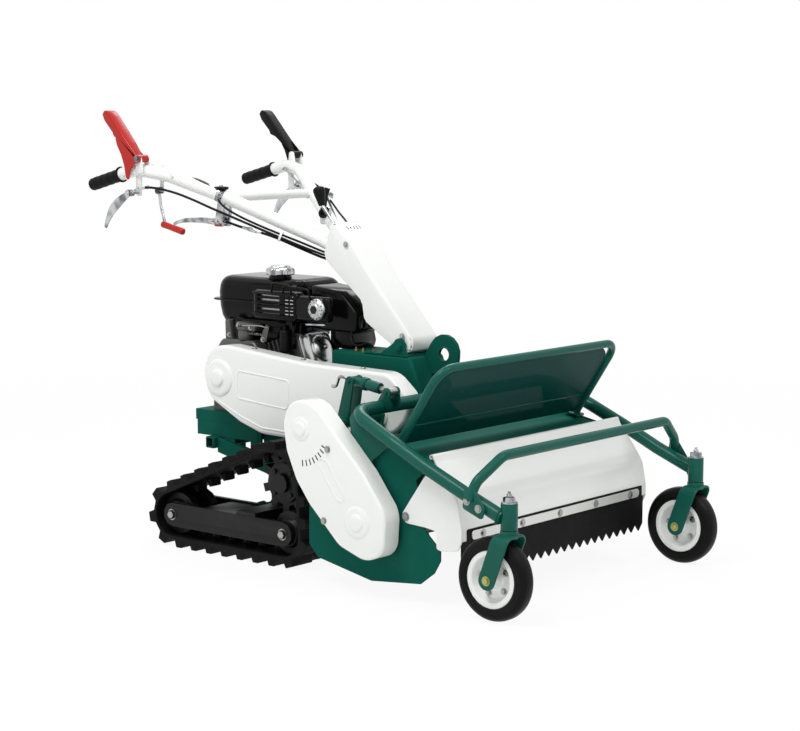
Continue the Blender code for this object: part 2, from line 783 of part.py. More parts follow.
def engine_bed():
    """Folded plate that the engine is bolted to, on legs that stand on the rails."""
    top, sheet = BED_TOP, BED_SHEET
    half = 0.099
    deck = box((-0.590, -half, top - sheet), (-0.150, half, top))
    flanges = [
        box((-0.590, side * half - 0.004 * (side > 0), top - 0.030),
            (-0.150, side * half + 0.004 * (side < 0), top - sheet + 0.001))
        for side in (-1, 1)
    ]
    legs = []
    for x in (-0.460, -0.360):
        foot = [(x - 0.020, rail_top(x - 0.020) + SEAT), (x + 0.020, rail_top(x + 0.020) + SEAT)]
        outline = foot + [(x + 0.020, top - 0.004), (x - 0.020, top - 0.004)]
        legs += [plate(outline, side * RAIL_Y - 0.004, side * RAIL_Y + 0.004) for side in (-1, 1)]
    return solid(deck, *flanges, *legs)


def case_shell(outline, y_out, y_back, sheet, extra=(), holes=()):
    """A pressed cover: open at y_back, closed at y_out, its corner rounded."""
    toward = 1 if y_back > y_out else -1
    low, high = sorted((y_out, y_back))
    body = plate(outline, low, high)
    work = bmesh.new()
    work.from_mesh(body)
    bmesh.ops.dissolve_limit(work, angle_limit=0.001, verts=work.verts, edges=work.edges)
    rim = [e for e in work.edges if all(abs(v.co.y - y_out) < 1e-5 for v in e.verts) and e.calc_face_angle() > 0.7]
    bmesh.ops.bevel(work, geom=rim, offset=0.005, segments=1, profile=0.5, affect="EDGES", clamp_overlap=True)
    work.to_mesh(body)
    work.free()
    inside = plate(inset(outline, sheet), *sorted((y_out + toward * CASE_FACE_SHEET, y_back + toward * 0.02)))
    return solid(body, *extra, less=[inside, *holes])


def long_outline():
    """The long belt case from the side: engine end round, the other end round the countershaft."""
    corners = [
        (-0.477, 0.389), (-0.361, 0.331), (-0.281, 0.307), (-0.188, 0.305), (0.060, 0.345), (0.105, 0.347),
        (0.185, 0.352), (0.230, 0.392), (0.240, 0.449), (0.180, 0.499), (0.156, 0.508), (-0.115, 0.513),
        (-0.406, 0.538), (-0.454, 0.533), (-0.482, 0.507), (-0.500, 0.456),
    ]
    return rounded(corners, 0.03, 1, closed=True)


CASE_SCREWS = ((-0.020, 0.489, BEAM_HALF_WIDTH), (-0.072, 0.345, POST_HALF_WIDTH))


def belt_case():
    """Long cover with a dome over the crank, a pressed panel and two screws."""
    outline = long_outline()
    dome = turned(
        [(0, 0.014), (0.030, 0.010), (0.046, 0.002), (0.050, -0.004), (0.050, -0.010), (0, -0.010)],
        (CRANK_X, CASE_FACE_Y + 0.006, CRANK_Z), (0, -1, 0),
    )
    panel_frame = [(-0.366, 0.473), (-0.174, 0.460), (-0.181, 0.383), (-0.367, 0.397)]
    outer = rounded(panel_frame[::-1], 0.012, 3, closed=True)
    panel = plate(outer, CASE_FACE_Y - 0.0025, CASE_FACE_Y + 0.003, [inset(outer, 0.006)])
    opening = across(COUNTER_X, COUNTER_Z, CASE_FACE_Y - 0.05, CASE_FACE_Y + 0.02, 0.030, 16)
    screws = []
    posts = []
    for x, z, carrier in CASE_SCREWS:
        screws.append(across(x, z, CASE_FACE_Y - 0.004, CASE_FACE_Y + 0.002, 0.007, 8))
        posts.append(across(x, z, CASE_FACE_Y + 0.002, -carrier - SEAT, 0.006, 8))
    shell = case_shell(
        outline, CASE_FACE_Y, CASE_FACE_Y + CASE_DEPTH, CASE_SHEET, extra=[dome, panel, *screws], holes=[opening],
    )
    return solid(shell, *posts)


def pulley_profile(radius, y0, y1, bore):
    """Rim with a V groove, as (radius, height) pairs from y1 down to y0."""
    middle = (y0 + y1) / 2
    top = BELT_ACROSS / 2 + 0.002
    return [
        (bore, y1), (radius + 0.004, y1), (radius + 0.004, middle + top), (radius - BELT_DEPTH, middle + top - 0.004),
        (radius - BELT_DEPTH, middle - top + 0.004), (radius + 0.004, middle - top), (radius + 0.004, y0), (bore, y0),
    ]


MAIN_BELT_Y = CASE_FACE_Y + 0.024
DECK_BELT_Y = DECK_CASE_BACK_Y - 0.024


def belt_loop(a, ra, b, rb, y):
    """A V belt round two pulleys in the plane at y, as a closed ring of even section."""
    gap = Vector(b) - Vector(a)
    lean = math.atan2(gap.y, gap.x)
    turn = math.acos((ra - rb) / gap.length)
    low, high = lean - turn, lean + turn

    def ring(offset):
        first = [(a[0] + (ra + offset) * math.cos(t), a[1] + (ra + offset) * math.sin(t))
                 for t in (high + (math.tau - 2 * turn) * i / 12 for i in range(13))]
        second = [(b[0] + (rb + offset) * math.cos(t), b[1] + (rb + offset) * math.sin(t))
                  for t in (low + 2 * turn * i / 12 for i in range(13))]
        return first + second
    half = BELT_ACROSS / 2
    sections = [
        [(x, y - half, z) for x, z in ring(0)], [(x, y + half, z) for x, z in ring(0)],
        [(x, y + half - 0.004, z) for x, z in ring(-BELT_DEPTH + 0.002)],
        [(x, y - half + 0.004, z) for x, z in ring(-BELT_DEPTH + 0.002)],
    ]

    def build(work):
        rows = [[work.verts.new(p) for p in section] for section in sections]
        for first, second in zip(rows, rows[1:] + rows[:1]):
            for i in range(len(first)):
                k = (i + 1) % len(first)
                work.faces.new((first[i], first[k], second[k], second[i]))
    return mesh_of(build)


def countershaft():
    """One shaft with the large pulley in the long case and the small one in the deck's case."""
    inner = pulley_profile(COUNTER_PULLEY, MAIN_BELT_Y - 0.013, MAIN_BELT_Y + 0.013, SHAFT_RADIUS)
    outer = pulley_profile(DECK_PULLEY, DECK_BELT_Y - 0.013, DECK_BELT_Y + 0.013, SHAFT_RADIUS)
    profile = (
        [(0, BEAM_HALF_WIDTH + 0.030), (SHAFT_RADIUS, BEAM_HALF_WIDTH + 0.030)] + inner + outer
        + [(SHAFT_RADIUS, DECK_BELT_Y - 0.018), (0, DECK_BELT_Y - 0.018)]
    )
    return turned(profile, (COUNTER_X, 0, COUNTER_Z), (0, 1, 0), 16)


def chassis():
    node("main_frame", main_frame(), GREEN)
    node("rear_frame", rear_frame(), GREEN)
    node("gearbox", gearbox(), BLACK)
    node("engine_bed", engine_bed(), GREEN)
    node("belt_case", belt_case(), WHITE)
    node("countershaft", countershaft(), STEEL, (COUNTER_X, 0, COUNTER_Z))
    crank = pulley_profile(CRANK_PULLEY, MAIN_BELT_Y - 0.013, MAIN_BELT_Y + 0.013, 0.0125)
    crank = [(0, MAIN_BELT_Y + 0.013)] + crank + [(0, MAIN_BELT_Y - 0.013)]
    crank = [(0, ENGINE_PTO_Y - 0.003), (0.0125, ENGINE_PTO_Y - 0.003)] + crank[1:]
    node("crank_pulley", turned(crank, (CRANK_X, 0, CRANK_Z), (0, 1, 0), 16), BLACK, (CRANK_X, 0, CRANK_Z))
    loop = belt_loop((CRANK_X, CRANK_Z), CRANK_PULLEY, (COUNTER_X, COUNTER_Z), COUNTER_PULLEY, MAIN_BELT_Y)
    node("main_drive_belt", loop, RUBBER)


# Engine
def tilted(mesh, angle, x, z):
    """The mesh, drawn along +X from the crank's axis, leaned up by angle and set at x, z."""
    mesh.transform(Matrix.Translation((x, 0, z)) @ Matrix.Rotation(-angle, 4, "Y"))
    return mesh


def engine_block():
    """Crankcase, finned cylinder, head and rocker cover boss, as one casting with its mounting feet."""
    front, back = ENGINE_PTO_Y, ENGINE_BACK_Y
    case = [
        (-0.098, -0.092), (0.070, -0.092), (0.094, -0.050), (0.094, 0.050), (0.060, 0.098),
        (-0.060, 0.098), (-0.098, 0.050),
    ]
    body = softened(plate(rounded(case, 0.02, 2, closed=True), front, back), 0.004)
    body.transform(Matrix.Translation((CRANK_X, 0, CRANK_Z)))
    feet = box((CRANK_X - 0.100, front + 0.006, BED_TOP + SEAT), (CRANK_X + 0.088, back - 0.006, CRANK_Z - 0.080))
    barrel = tilted(box((0.060, -0.046, -0.046), (CYLINDER_REACH, 0.046, 0.046)), CYLINDER_TILT, CRANK_X, CRANK_Z)
    pieces = [feet, barrel]
    for k in range(FIN_COUNT):
        x = 0.112 + k * 0.016
        fin = box((x, -CYLINDER_HALF, -CYLINDER_HALF), (x + 0.005, CYLINDER_HALF, CYLINDER_HALF))
        pieces.append(tilted(fin, CYLINDER_TILT, CRANK_X, CRANK_Z))
    head = softened(box((CYLINDER_REACH - 0.032, -HEAD_HALF, -HEAD_HALF), (CYLINDER_REACH, HEAD_HALF, HEAD_HALF)), 0.005)
    pieces.append(tilted(head, CYLINDER_TILT, CRANK_X, CRANK_Z))
    pieces.append(across(CRANK_X, CRANK_Z, front - 0.0, front - 0.0022, 0.044, 16))
    pieces.append(box((CRANK_X - 0.075, -0.050, CRANK_Z + 0.090), (CRANK_X - 0.055, 0.060, TANK_BOTTOM - SEAT)))
    pieces.append(box((CRANK_X + 0.045, 0.020, CRANK_Z + 0.090), (CRANK_X + 0.065, 0.075, TANK_BOTTOM - SEAT)))
    bore = across(CRANK_X, CRANK_Z, front - 0.02, front + 0.030, 0.0125 + RUNNING)
    return solid(body, *pieces, less=[bore])


def head_cover():
    """Rocker cover: a domed pressing with a centre bolt."""
    half = COVER_HALF
    side = softened(box((0, -half, -half), (0.026, half, half)), 0.010, 2)
    dome = turned(
        [(0, 0.046), (0.006, 0.046), (0.006, 0.040), (0.020, 0.038), (0.038, 0.030), (0.042, 0.020), (0, 0.018)],
        (0, 0, 0), (1, 0, 0),
    )
    parts = []
    for mesh in (side, dome):
        mesh.transform(Matrix.Translation((CYLINDER_REACH + SEAT, 0, 0)))
        parts.append(tilted(mesh, CYLINDER_TILT, CRANK_X, CRANK_Z))
    return solid(*parts)


def fuel_tank():
    """Two pressed halves with the seam flange between them, and the filler neck."""
    x0, x1 = TANK_X - TANK_LENGTH / 2, TANK_X + TANK_LENGTH / 2
    y0, y1 = TANK_Y - TANK_WIDTH / 2, TANK_Y + TANK_WIDTH / 2
    body = softened(box((x0, y0, TANK_BOTTOM), (x1, y1, TANK_TOP)), 0.024, 2)
    seam = (TANK_BOTTOM + TANK_TOP) / 2 - 0.006
    outline = rounded([(x0 - 0.008, y0 - 0.008), (x1 + 0.008, y0 - 0.008), (x1 + 0.008, y1 + 0.008),
                       (x0 - 0.008, y1 + 0.008)], 0.030, 4, closed=True)
    flange = plate(outline, -0.002, 0.002)
    flange.transform(Matrix.Translation((0, 0, seam)) @ Matrix.Rotation(-math.pi / 2, 4, "X"))
    neck = rod((CAP_X, CAP_Y, TANK_TOP - 0.01), (CAP_X, CAP_Y, TANK_TOP + 0.008), 0.030, 16)
    return solid(body, flange, neck)


def fuel_cap():
    """Knurled cap over the neck, with a raised middle."""
    base = TANK_TOP + 0.008 + SEAT
    top = base + CAP_HEIGHT
    outline = []
    for k in range(32):
        angle = math.tau * k / 32
        radius = CAP_RADIUS - (0.0018 if k % 4 > 1 else 0)
        outline.append((CAP_X + radius * math.cos(angle), CAP_Y + radius * math.sin(angle)))
    skirt = plate(outline, -(top - 0.008), -base)
    skirt.transform(Matrix.Rotation(-math.pi / 2, 4, "X"))
    skirt.transform(Matrix.Diagonal((1, -1, 1, 1)))
    skirt.flip_normals()
    crown = turned([(0, top), (0.022, top), (0.030, top - 0.004), (CAP_RADIUS - 0.001, top - 0.008),
                    (CAP_RADIUS - 0.003, top - 0.012), (0, top - 0.012)], (CAP_X, CAP_Y, 0), (0, 0, 1), 16)
    return solid(skirt, crown)


def muffler():
    """Silencer box inside a pressed guard whose near side is slotted."""
    y0, y1 = MUFFLER_Y - 0.004, MUFFLER_Y + 0.034
    half = MUFFLER_HALF
    guard = softened(box((MUFFLER_REAR, y0, MUFFLER_Z - half), (MUFFLER_SPLIT, y1, MUFFLER_Z + half)), 0.010, 2)
    nose = softened(box((MUFFLER_SPLIT - 0.010, y0 + 0.003, MUFFLER_Z - half + 0.004),
                        (MUFFLER_FRONT, y1 - 0.004, MUFFLER_Z + half - 0.008)), 0.012, 3)
    slots = []
    for k in range(GUARD_SLOTS):
        z = MUFFLER_Z - half + 0.014 + k * 0.0125
        slots.append(box((MUFFLER_REAR + 0.018, y0 - 0.01, z), (MUFFLER_SPLIT - 0.060, y0 + 0.012, z + 0.006)))
    outlet = across(OUTLET_X, MUFFLER_Z, y0 - 0.0005, y0 + 0.010, 0.030, 16)
    stay = box((-0.262, MUFFLER_Y + 0.025, 0.545), (-0.240, MUFFLER_Y + 0.037, MUFFLER_Z - half + 0.010))
    pad = box((-0.256, MUFFLER_Y + 0.027, 0.532), (-0.243, -HEAD_HALF - SEAT, 0.553))
    return solid(guard, nose, outlet, stay, pad, less=slots)


def exhaust_outlet():
    """Round deflector with a ring of holes over the muffler's outlet."""
    y = MUFFLER_Y - 0.0045 - SEAT
    body = turned([(0, 0.018), (0.012, 0.018), (0.020, 0.014), (0.024, 0.007), (0.025, 0), (0, 0)],
                  (OUTLET_X, y, MUFFLER_Z), (0, -1, 0), 16)
    holes = []
    for count, ring in ((6, 0.0140),):
        for k in range(count):
            angle = math.tau * k / count
            x = OUTLET_X + ring * math.cos(angle)
            z = MUFFLER_Z + ring * math.sin(angle)
            holes.append(across(x, z, y - 0.03, y - 0.006, 0.0022, 6))
    return solid(body, less=holes)


def air_cleaner():
    """Moulded cover ahead of the muffler, its top sloped to clear the column."""
    outline = [(-0.205, 0.585), (-0.050, 0.585), (-0.040, 0.600), (-0.040, 0.640), (-0.098, 0.694), (-0.205, 0.706)]
    body = softened(plate(outline, -0.040, 0.075), 0.008, 2)
    stay = box((-0.2140, COVER_HALF + SEAT, 0.500), (-0.190, 0.0600, 0.600))
    ribs = [box((-0.052 + 0.0, -0.030 + k * 0.022, 0.600), (-0.036, -0.022 + k * 0.022, 0.632)) for k in range(5)]
    return solid(body, stay, *ribs)


def recoil_starter():
    """Fan housing on the left side of the engine with a dome and a pull grip."""
    y = ENGINE_BACK_Y + SEAT
    body = turned(
        [(0, 0.090), (0.040, 0.090), (0.052, 0.084), (0.080, 0.078), (0.094, 0.062), (0.097, 0), (0, 0)],
        (CRANK_X, y, CRANK_Z), (0, 1, 0), 36,
    )
    scroll = softened(box((CRANK_X - 0.02, y, CRANK_Z + 0.03), (CRANK_X + 0.105, y + 0.062, CRANK_Z + 0.090)), 0.010, 2)
    grip = softened(box((CRANK_X + 0.100, y + 0.022, CRANK_Z + 0.052), (CRANK_X + 0.122, y + 0.040, CRANK_Z + 0.084)), 0.004)
    return solid(body, scroll, grip)


def engine():
    node("engine_block", engine_block(), CAST)
    node("head_cover", head_cover(), CHROME)
    node("fuel_tank", fuel_tank(), BLACK)
    node("fuel_cap", fuel_cap(), CHROME, (CAP_X, CAP_Y, TANK_TOP))
    node("muffler_guard", muffler(), BLACK)
    node("exhaust_outlet", exhaust_outlet(), STEEL)
    node("air_cleaner", air_cleaner(), PLASTIC)
    node("recoil_starter", recoil_starter(), BLACK)


# Handle column, bars and levers
COLUMN_SIDE = [
    (0.105, 0.556), (0.128, 0.5465), (0.152, 0.5475), (0.164, 0.565), (0.161, 0.589), (0.013, 0.755),
    (-0.040, 0.826), (-0.106, 0.882), (-0.124, 0.872), (-0.149, 0.783), (-0.013, 0.673), (-0.005, 0.622),
]


def column_cover():
    """Folded cover, open underneath, with pressed lines, screws and an arched notch at the hinge bolt."""
    outline = rounded(COLUMN_SIDE, [0.01, 0.02, 0.02, 0.02, 0.02, 0.02, 0.02, 0.03, 0.012, 0.02, 0.02, 0.02], 1, closed=True)
    body = softened(plate(outline, -COLUMN_HALF, COLUMN_HALF), 0.006)
    inner = inset(COLUMN_SIDE, 0.0045)
    opened = inner[1:8] + [(-0.128, 0.860), (-0.20, 0.80), (-0.20, 0.70), (-0.02, 0.56), (0.09, 0.50), (0.126, 0.50)]
    hollow = plate(opened, -COLUMN_HALF + COLUMN_SHEET, COLUMN_HALF - COLUMN_SHEET)
    notches = [across(HINGE_X, HINGE_Z, -0.1, 0.1, 0.0135, 10)]
    body = solid(body, less=[hollow, *notches])
    bosses = []
    for x, z in ((-0.062, 0.822), (0.132, 0.593)):
        for side in (-1, 1):
            y0, y1 = side * (COLUMN_HALF - 0.0015), side * (COLUMN_HALF + 0.003)
            bosses.append(across(x, z, y0, y1, 0.0065, 8))
    return solid(body, *bosses)


def handle_bracket():
    """Folded bracket on the beam: two ears for the hinge bolt and a gusset behind them."""
    z = BEAM_TOP + SEAT
    base = box((0.010, -0.068, z), (0.160, 0.068, z + 0.004))
    ears = []
    for side in (-1, 1):
        y0, y1 = sorted((side * 0.0585, side * 0.0635))
        ear = [(0.060, z + 0.001), (0.158, z + 0.001)] + arc(HINGE_X, HINGE_Z + 0.002, 0.022, -20, 160, 5)
        ears.append(plate(ear, y0, y1))
    bolt = across(HINGE_X, HINGE_Z, -0.072, 0.072, 0.006, 8)
    heads = [across(HINGE_X, HINGE_Z, side * 0.062, side * 0.070, 0.011, 6) for side in (-1, 1)]
    return solid(base, *ears, bolt, *heads)


def handlebar():
    """Post inside the column, its yoke, two bent tubes with the crossbar and the bars for the grips."""
    post = [(0.112, 0.575), (0.140, 0.5745), (-0.040, 0.795), (-0.066, 0.775)]
    middle = plate(rounded(post, 0.004, 1, closed=True), -0.022, 0.022)
    hub = plate([(0.100, 0.590), (0.1145, 0.5535), (0.1395, 0.5535), (0.148, 0.565), (0.132, 0.590)], -0.021, 0.021)
    hole = across(HINGE_X, HINGE_Z, -0.1, 0.1, 0.0064, 8)
    yoke = box((-0.126, -0.046, 0.762), (-0.035, 0.046, 0.796))
    bars = []
    for side in (-1, 1):
        path = [(-0.050, side * 0.034, 0.777), (-0.150, side * 0.034, 0.823), (-0.387, side * BAR_Y, 0.940),
                (-0.520, side * (GRIP_Y - 0.038), 0.999), (-0.600, side * GRIP_Y, 1.015), (-0.655, side * GRIP_Y, 1.0008)]
        bars.append(tube(path, HANDLE_TUBE, 0.05))
        first, last = (Vector((x, side * GRIP_Y, z)) for x, _, z in (GRIP_START, GRIP_END))
        bars.append(rod(first + (first - last).normalized() * 0.012, last, GRIP_BAR, 16))
    cross = rod((-0.392, -BAR_Y - 0.008, 0.941), (-0.392, BAR_Y + 0.008, 0.941), CROSSBAR_TUBE, 16)
    return solid(middle, hub, yoke, *bars, cross, *control_mounts(), less=[hole])


def grip(side):
    """Rubber grip with a collar at its foot and a closed end."""
    start = Vector((GRIP_START[0], side * GRIP_Y, GRIP_START[2]))
    end = Vector((GRIP_END[0], side * GRIP_Y, GRIP_END[2]))
    bore = GRIP_BAR + SEAT
    foot, top = 0.004, (end - start).length + 0.006
    profile = [(0, top), (GRIP_RADIUS - 0.004, top), (GRIP_RADIUS, top - 0.003), (GRIP_RADIUS, foot + 0.006),
               (GRIP_RADIUS + 0.004, foot + 0.004), (GRIP_RADIUS + 0.004, foot), (bore, foot), (bore, top - 0.0055),
               (0, top - 0.0055)]
    return turned(profile, start, end - start, 16)


def hand_lever(side):
    """Bent flat dead man lever: a hub at its pivot and a long curved blade up over the grip."""
    x, z = LEVER_X, LEVER_Z
    blade = [(x + 0.004, z - 0.006), (x - 0.070, z + 0.058), (x - 0.108, z + 0.098), (x - 0.130, z + 0.122),
             (x - 0.124, z + 0.130), (x - 0.100, z + 0.115), (x - 0.060, z + 0.075), (x - 0.012, z + 0.008)]
    y = side * GRIP_Y
    hub = across(x, z, y - 0.0115, y + 0.0115, 0.009, 10)
    arm = softened(plate(blade, y - 0.010, y + 0.010), 0.003)
    return solid(arm, hub, less=[pivot_cut(x, z, LEVER_PIN)])


def pivot_cut(x, z, radius):
    """The bore for a lever's pin along Y."""
    return across(x, z, -GRIP_Y * 2, GRIP_Y * 2, radius + RUNNING, 10)


def clutch_lever():
    """Left side clutch lever: a flat blade hung outside the grip, with a hub on its pin."""
    x, y, z = SIDE_CLUTCH
    blade = [(x + 0.008, z - 0.010), (x + 0.010, z + 0.008), (x - 0.030, z + 0.004), (x - 0.085, z - 0.060),
             (x - 0.106, z - 0.098), (x - 0.098, z - 0.106), (x - 0.084, z - 0.092), (x - 0.040, z - 0.030)]
    hub = across(x, z, y - 0.008, y + 0.008, 0.0105, 10)
    return solid(softened(plate(blade, y - 0.005, y + 0.005), 0.002), hub, less=[pivot_cut(x, z, LEVER_PIN)])


def latch_lever():
    """White rod that hangs from the right bar, with a red hand grip across its foot."""
    x, y, z = LATCH
    down = tube([(x, y, z), (x + 0.006, y, z - 0.040), (x + 0.022, y, z - 0.088)], 0.0055, 0.02)
    hand = rod((x + 0.012, y, z - 0.090), (x + 0.092, y, z - 0.108), 0.0095, 20, 0.0085)
    hub = across(x, z, y - 0.007, y + 0.007, 0.010, 10)
    return solid(down, hand, hub, less=[pivot_cut(x, z, LEVER_PIN)])


def knife_clutch_lever():
    """Long flat lever under the crossbar that draws the knife clutch's cable."""
    x, y, z = KNIFE_CLUTCH
    blade = [(x + 0.012, z - 0.010), (x + 0.012, z + 0.010), (x - 0.050, z + 0.007), (x - 0.150, z - 0.001),
             (x - 0.182, z - 0.004), (x - 0.182, z - 0.012), (x - 0.150, z - 0.010), (x - 0.050, z - 0.006)]
    hub = across(x, z, y - 0.009, y + 0.009, 0.012, 10)
    return solid(softened(plate(blade, y - 0.008, y + 0.008), 0.003), hub, less=[pivot_cut(x, z, LEVER_PIN)])


def shift_lever():
    """Rod out of the column's top with a tapered knob."""
    x, y, z = SHIFT
    shaft = rod((x, y, z), (-0.199, y, 0.922), 0.0055, 8)
    knob = turned([(0, 0.052), (0.010, 0.051), (0.0155, 0.044), (0.0165, 0.034), (0.009, 0), (0, 0)],
                  (-0.197, y, 0.918), (-0.28, 0, 1), 18)
    hub = across(x, z, y - 0.008, y + 0.008, 0.010, 10)
    return solid(shaft, knob, hub, less=[pivot_cut(x, z, LEVER_PIN)])


def throttle_lever():
    """Short lever with a paddle end on the left bar's clamp."""
    x, y, z = THROTTLE
    hub = across(x, z, y - 0.005, y + 0.005, 0.013, 10)
    blade = [(x + 0.006, z - 0.006), (x + 0.010, z + 0.006), (x + 0.016, z + 0.045), (x + 0.026, z + 0.068),
             (x + 0.008, z + 0.072), (x + 0.002, z + 0.046), (x - 0.008, z + 0.004)]
    return solid(softened(plate(blade, y - 0.003, y + 0.003), 0.001), hub, less=[pivot_cut(x, z, LEVER_PIN)])


def control_mounts():
    """Clamps and pins on the bars that the levers turn on: welded to the handlebar."""
    pieces = []
    for side in (-1, 1):
        y = side * GRIP_Y
        pieces.append(across(LEVER_X, LEVER_Z, y - 0.024, y + 0.024, LEVER_PIN, 8))
        for t in (-1, 1):
            cheek = [(LEVER_X - 0.014, 1.004), (LEVER_X + 0.018, 1.004), (LEVER_X + 0.009, LEVER_Z + 0.009),
                     (LEVER_X - 0.009, LEVER_Z + 0.009)]
            pieces.append(plate(cheek, *sorted((y + t * 0.0125, y + t * 0.0205))))
        x, reach, z = SIDE_CLUTCH
        pieces.append(plate([(x - 0.014, z - 0.012), (x + 0.014, z - 0.012), (x + 0.016, 1.010), (x - 0.016, 1.006)],
                            y - 0.006, y + 0.006))
        pieces.append(across(x, z, y, side * (reach + 0.012), LEVER_PIN, 8))
    x, y, z = LATCH
    pieces.append(across(x, z, y - 0.016, y + 0.016, LEVER_PIN, 8))
    pieces.append(box((x - 0.010, y + 0.0085, z - 0.012), (x + 0.010, y + 0.0155, 1.000)))
    x, y, z = KNIFE_CLUTCH
    pieces.append(across(x, z, y - 0.019, y + 0.019, LEVER_PIN, 8))
    for t in (-1, 1):
        side_plate = [(x - 0.012, z - 0.012), (x + 0.020, z - 0.012), (x + 0.030, 0.944), (x + 0.006, 0.944)]
        pieces.append(plate(side_plate, *sorted((y + t * 0.0105, y + t * 0.0165))))
    x, y, z = THROTTLE
    pieces.append(across(x, z, y - 0.008, y + 0.010, LEVER_PIN, 8))
    pieces.append(softened(box((x - 0.018, y + 0.0065, z - 0.030), (x + 0.018, y + 0.016, z + 0.018)), 0.002))
    pieces.append(rod((-0.400, -0.180, 0.945), (-0.400, -0.180, 0.985), 0.017, 10))
    pieces.append(softened(box((-0.490, -0.235, 0.972), (-0.436, -0.195, 0.992)), 0.004))
    x, y, z = SHIFT
    pieces.append(across(x, z, -0.014, 0.014, LEVER_PIN, 8))
    for t in (-1, 1):
        pieces.append(box((x - 0.010, min(t * 0.0095, t * 0.0145), 0.770), (x + 0.010, max(t * 0.0095, t * 0.0145), z + 0.008)))
    return pieces


def handles():
    node("column_cover", column_cover(), WHITE)
    node("handle_bracket", handle_bracket(), GREEN)
    node("handlebar", handlebar(), WHITE)
    node("grip_right", grip(-1), RUBBER)
    node("grip_left", grip(1), RUBBER)
    node("red_lever", hand_lever(-1), RED, (LEVER_X, -GRIP_Y, LEVER_Z))
    node("black_lever", hand_lever(1), PLASTIC, (LEVER_X, GRIP_Y, LEVER_Z))
    x, y, z = SIDE_CLUTCH
    sided(clutch_lever, "clutch_lever", CHROME, x, z, y)
    node("latch_lever", latch_lever(), RED, LATCH)
    node("knife_clutch_lever", knife_clutch_lever(), CHROME, KNIFE_CLUTCH)
    node("shift_lever", shift_lever(), PLASTIC, SHIFT)
    node("throttle_lever", throttle_lever(), PLASTIC, THROTTLE)


# Flail deck
DECK_TOP = 0.368
DECK_SIDE = [
    (0.107, 0.199), (0.106, 0.098), (0.135, 0.067), (0.311, 0.033), (0.466, 0.048), (0.508, 0.080),
    (0.527, 0.112), (0.527, 0.138), (0.480, 0.180), (0.452, 0.300), (0.497, 0.338),
    (0.345, DECK_TOP), (0.255, DECK_TOP), (0.200, 0.330), (0.125, 0.260),
]
ROOF_LEVEL = DECK_TOP - 0.0055
ROOF = [
    (0.4935, 0.3328), (0.345, ROOF_LEVEL), (0.255, ROOF_LEVEL), (0.204, 0.327), (0.129, 0.257), (0.111, 0.199),
    (0.110, 0.120),
]


def roof_top(x):
    """Height of the roof's outer face on its front slope."""
    (x0, z0), (x1, z1) = ROOF[:2]
    slope = (z1 - z0) / (x1 - x0)
    return z0 + (x - x0) * slope + ROOF_SHEET * math.hypot(1, slope)


def deck_shell():
    """Side plates, bent roof, the arms up to the pivot tube, the rotor's bearings and the pins."""
    half = DECK_HALF
    pieces = []
    arm = [(0.204, 0.3290), (0.246, 0.3580)] + arc(COUNTER_X, COUNTER_Z, 0.034, 20, 230, 5) + [(0.150, 0.2785)]
    for side in (-1, 1):
        y0, y1 = sorted((side * (half - DECK_PLATE), side * half))
        pieces.append(plate(DECK_SIDE, y0, y1))
        pieces.append(across(ROTOR_X, ROTOR_Z, side * (half - 0.012), side * (half + 0.0005), 0.042, 16))
        pieces.append(across(FRAME_PIVOT_X, FRAME_PIVOT_Z, side * (half - 0.002), side * (WING_Y + WING_SHEET + 0.001), 0.009, 10))
        pieces.append(across(FRAME_PIVOT_X, FRAME_PIVOT_Z, side * (half - 0.002), side * (WING_Y - RUNNING), 0.014, 12))
        pieces.append(across(HOOD_X, HOOD_Z, side * (half - 0.002), side * (half + 0.0060), 0.006, 8))
    pieces.append(plate(arm, -half + 0.0004, -half + 0.0080))
    pieces.append(plate(arm, LEFT_ARM_Y, LEFT_ARM_Y + 0.010))
    pieces.append(plate(strip(ROOF, -ROOF_SHEET), -half + 0.001, half - 0.001))
    stiffener = softened(box((0.246, -half + 0.002, 0.345), (0.282, half - 0.002, DECK_TOP)), 0.003)
    pieces.append(stiffener)
    for x, z in CASE_POSTS:
        reach = DECK_CASE_BACK_Y - DECK_CASE_DEPTH + CASE_FACE_SHEET + SEAT
        pieces.append(across(x, z, -half + 0.002, reach, 0.0070, 8))
    bores = [across(COUNTER_X, COUNTER_Z, -half - 0.01, -half + 0.02, COUNTER_TUBE_INNER + RUNNING, 16),
             across(COUNTER_X, COUNTER_Z, LEFT_ARM_Y - 0.01, LEFT_ARM_Y + 0.02, COUNTER_TUBE + 0.006 + RUNNING, 16),
             across(ROTOR_X, ROTOR_Z, -half - 0.1, half + 0.1, ROTOR_SHAFT + RUNNING, 16)]
    return solid(*pieces, less=bores)


def twin_ears(outline):
    """Two plates of one outline, either side of the jack."""
    places = [JACK_Y + t * JACK_EAR_HALF for t in (-1, 1)]
    return [plate(outline, y - 0.003, y + 0.003) for y in places]


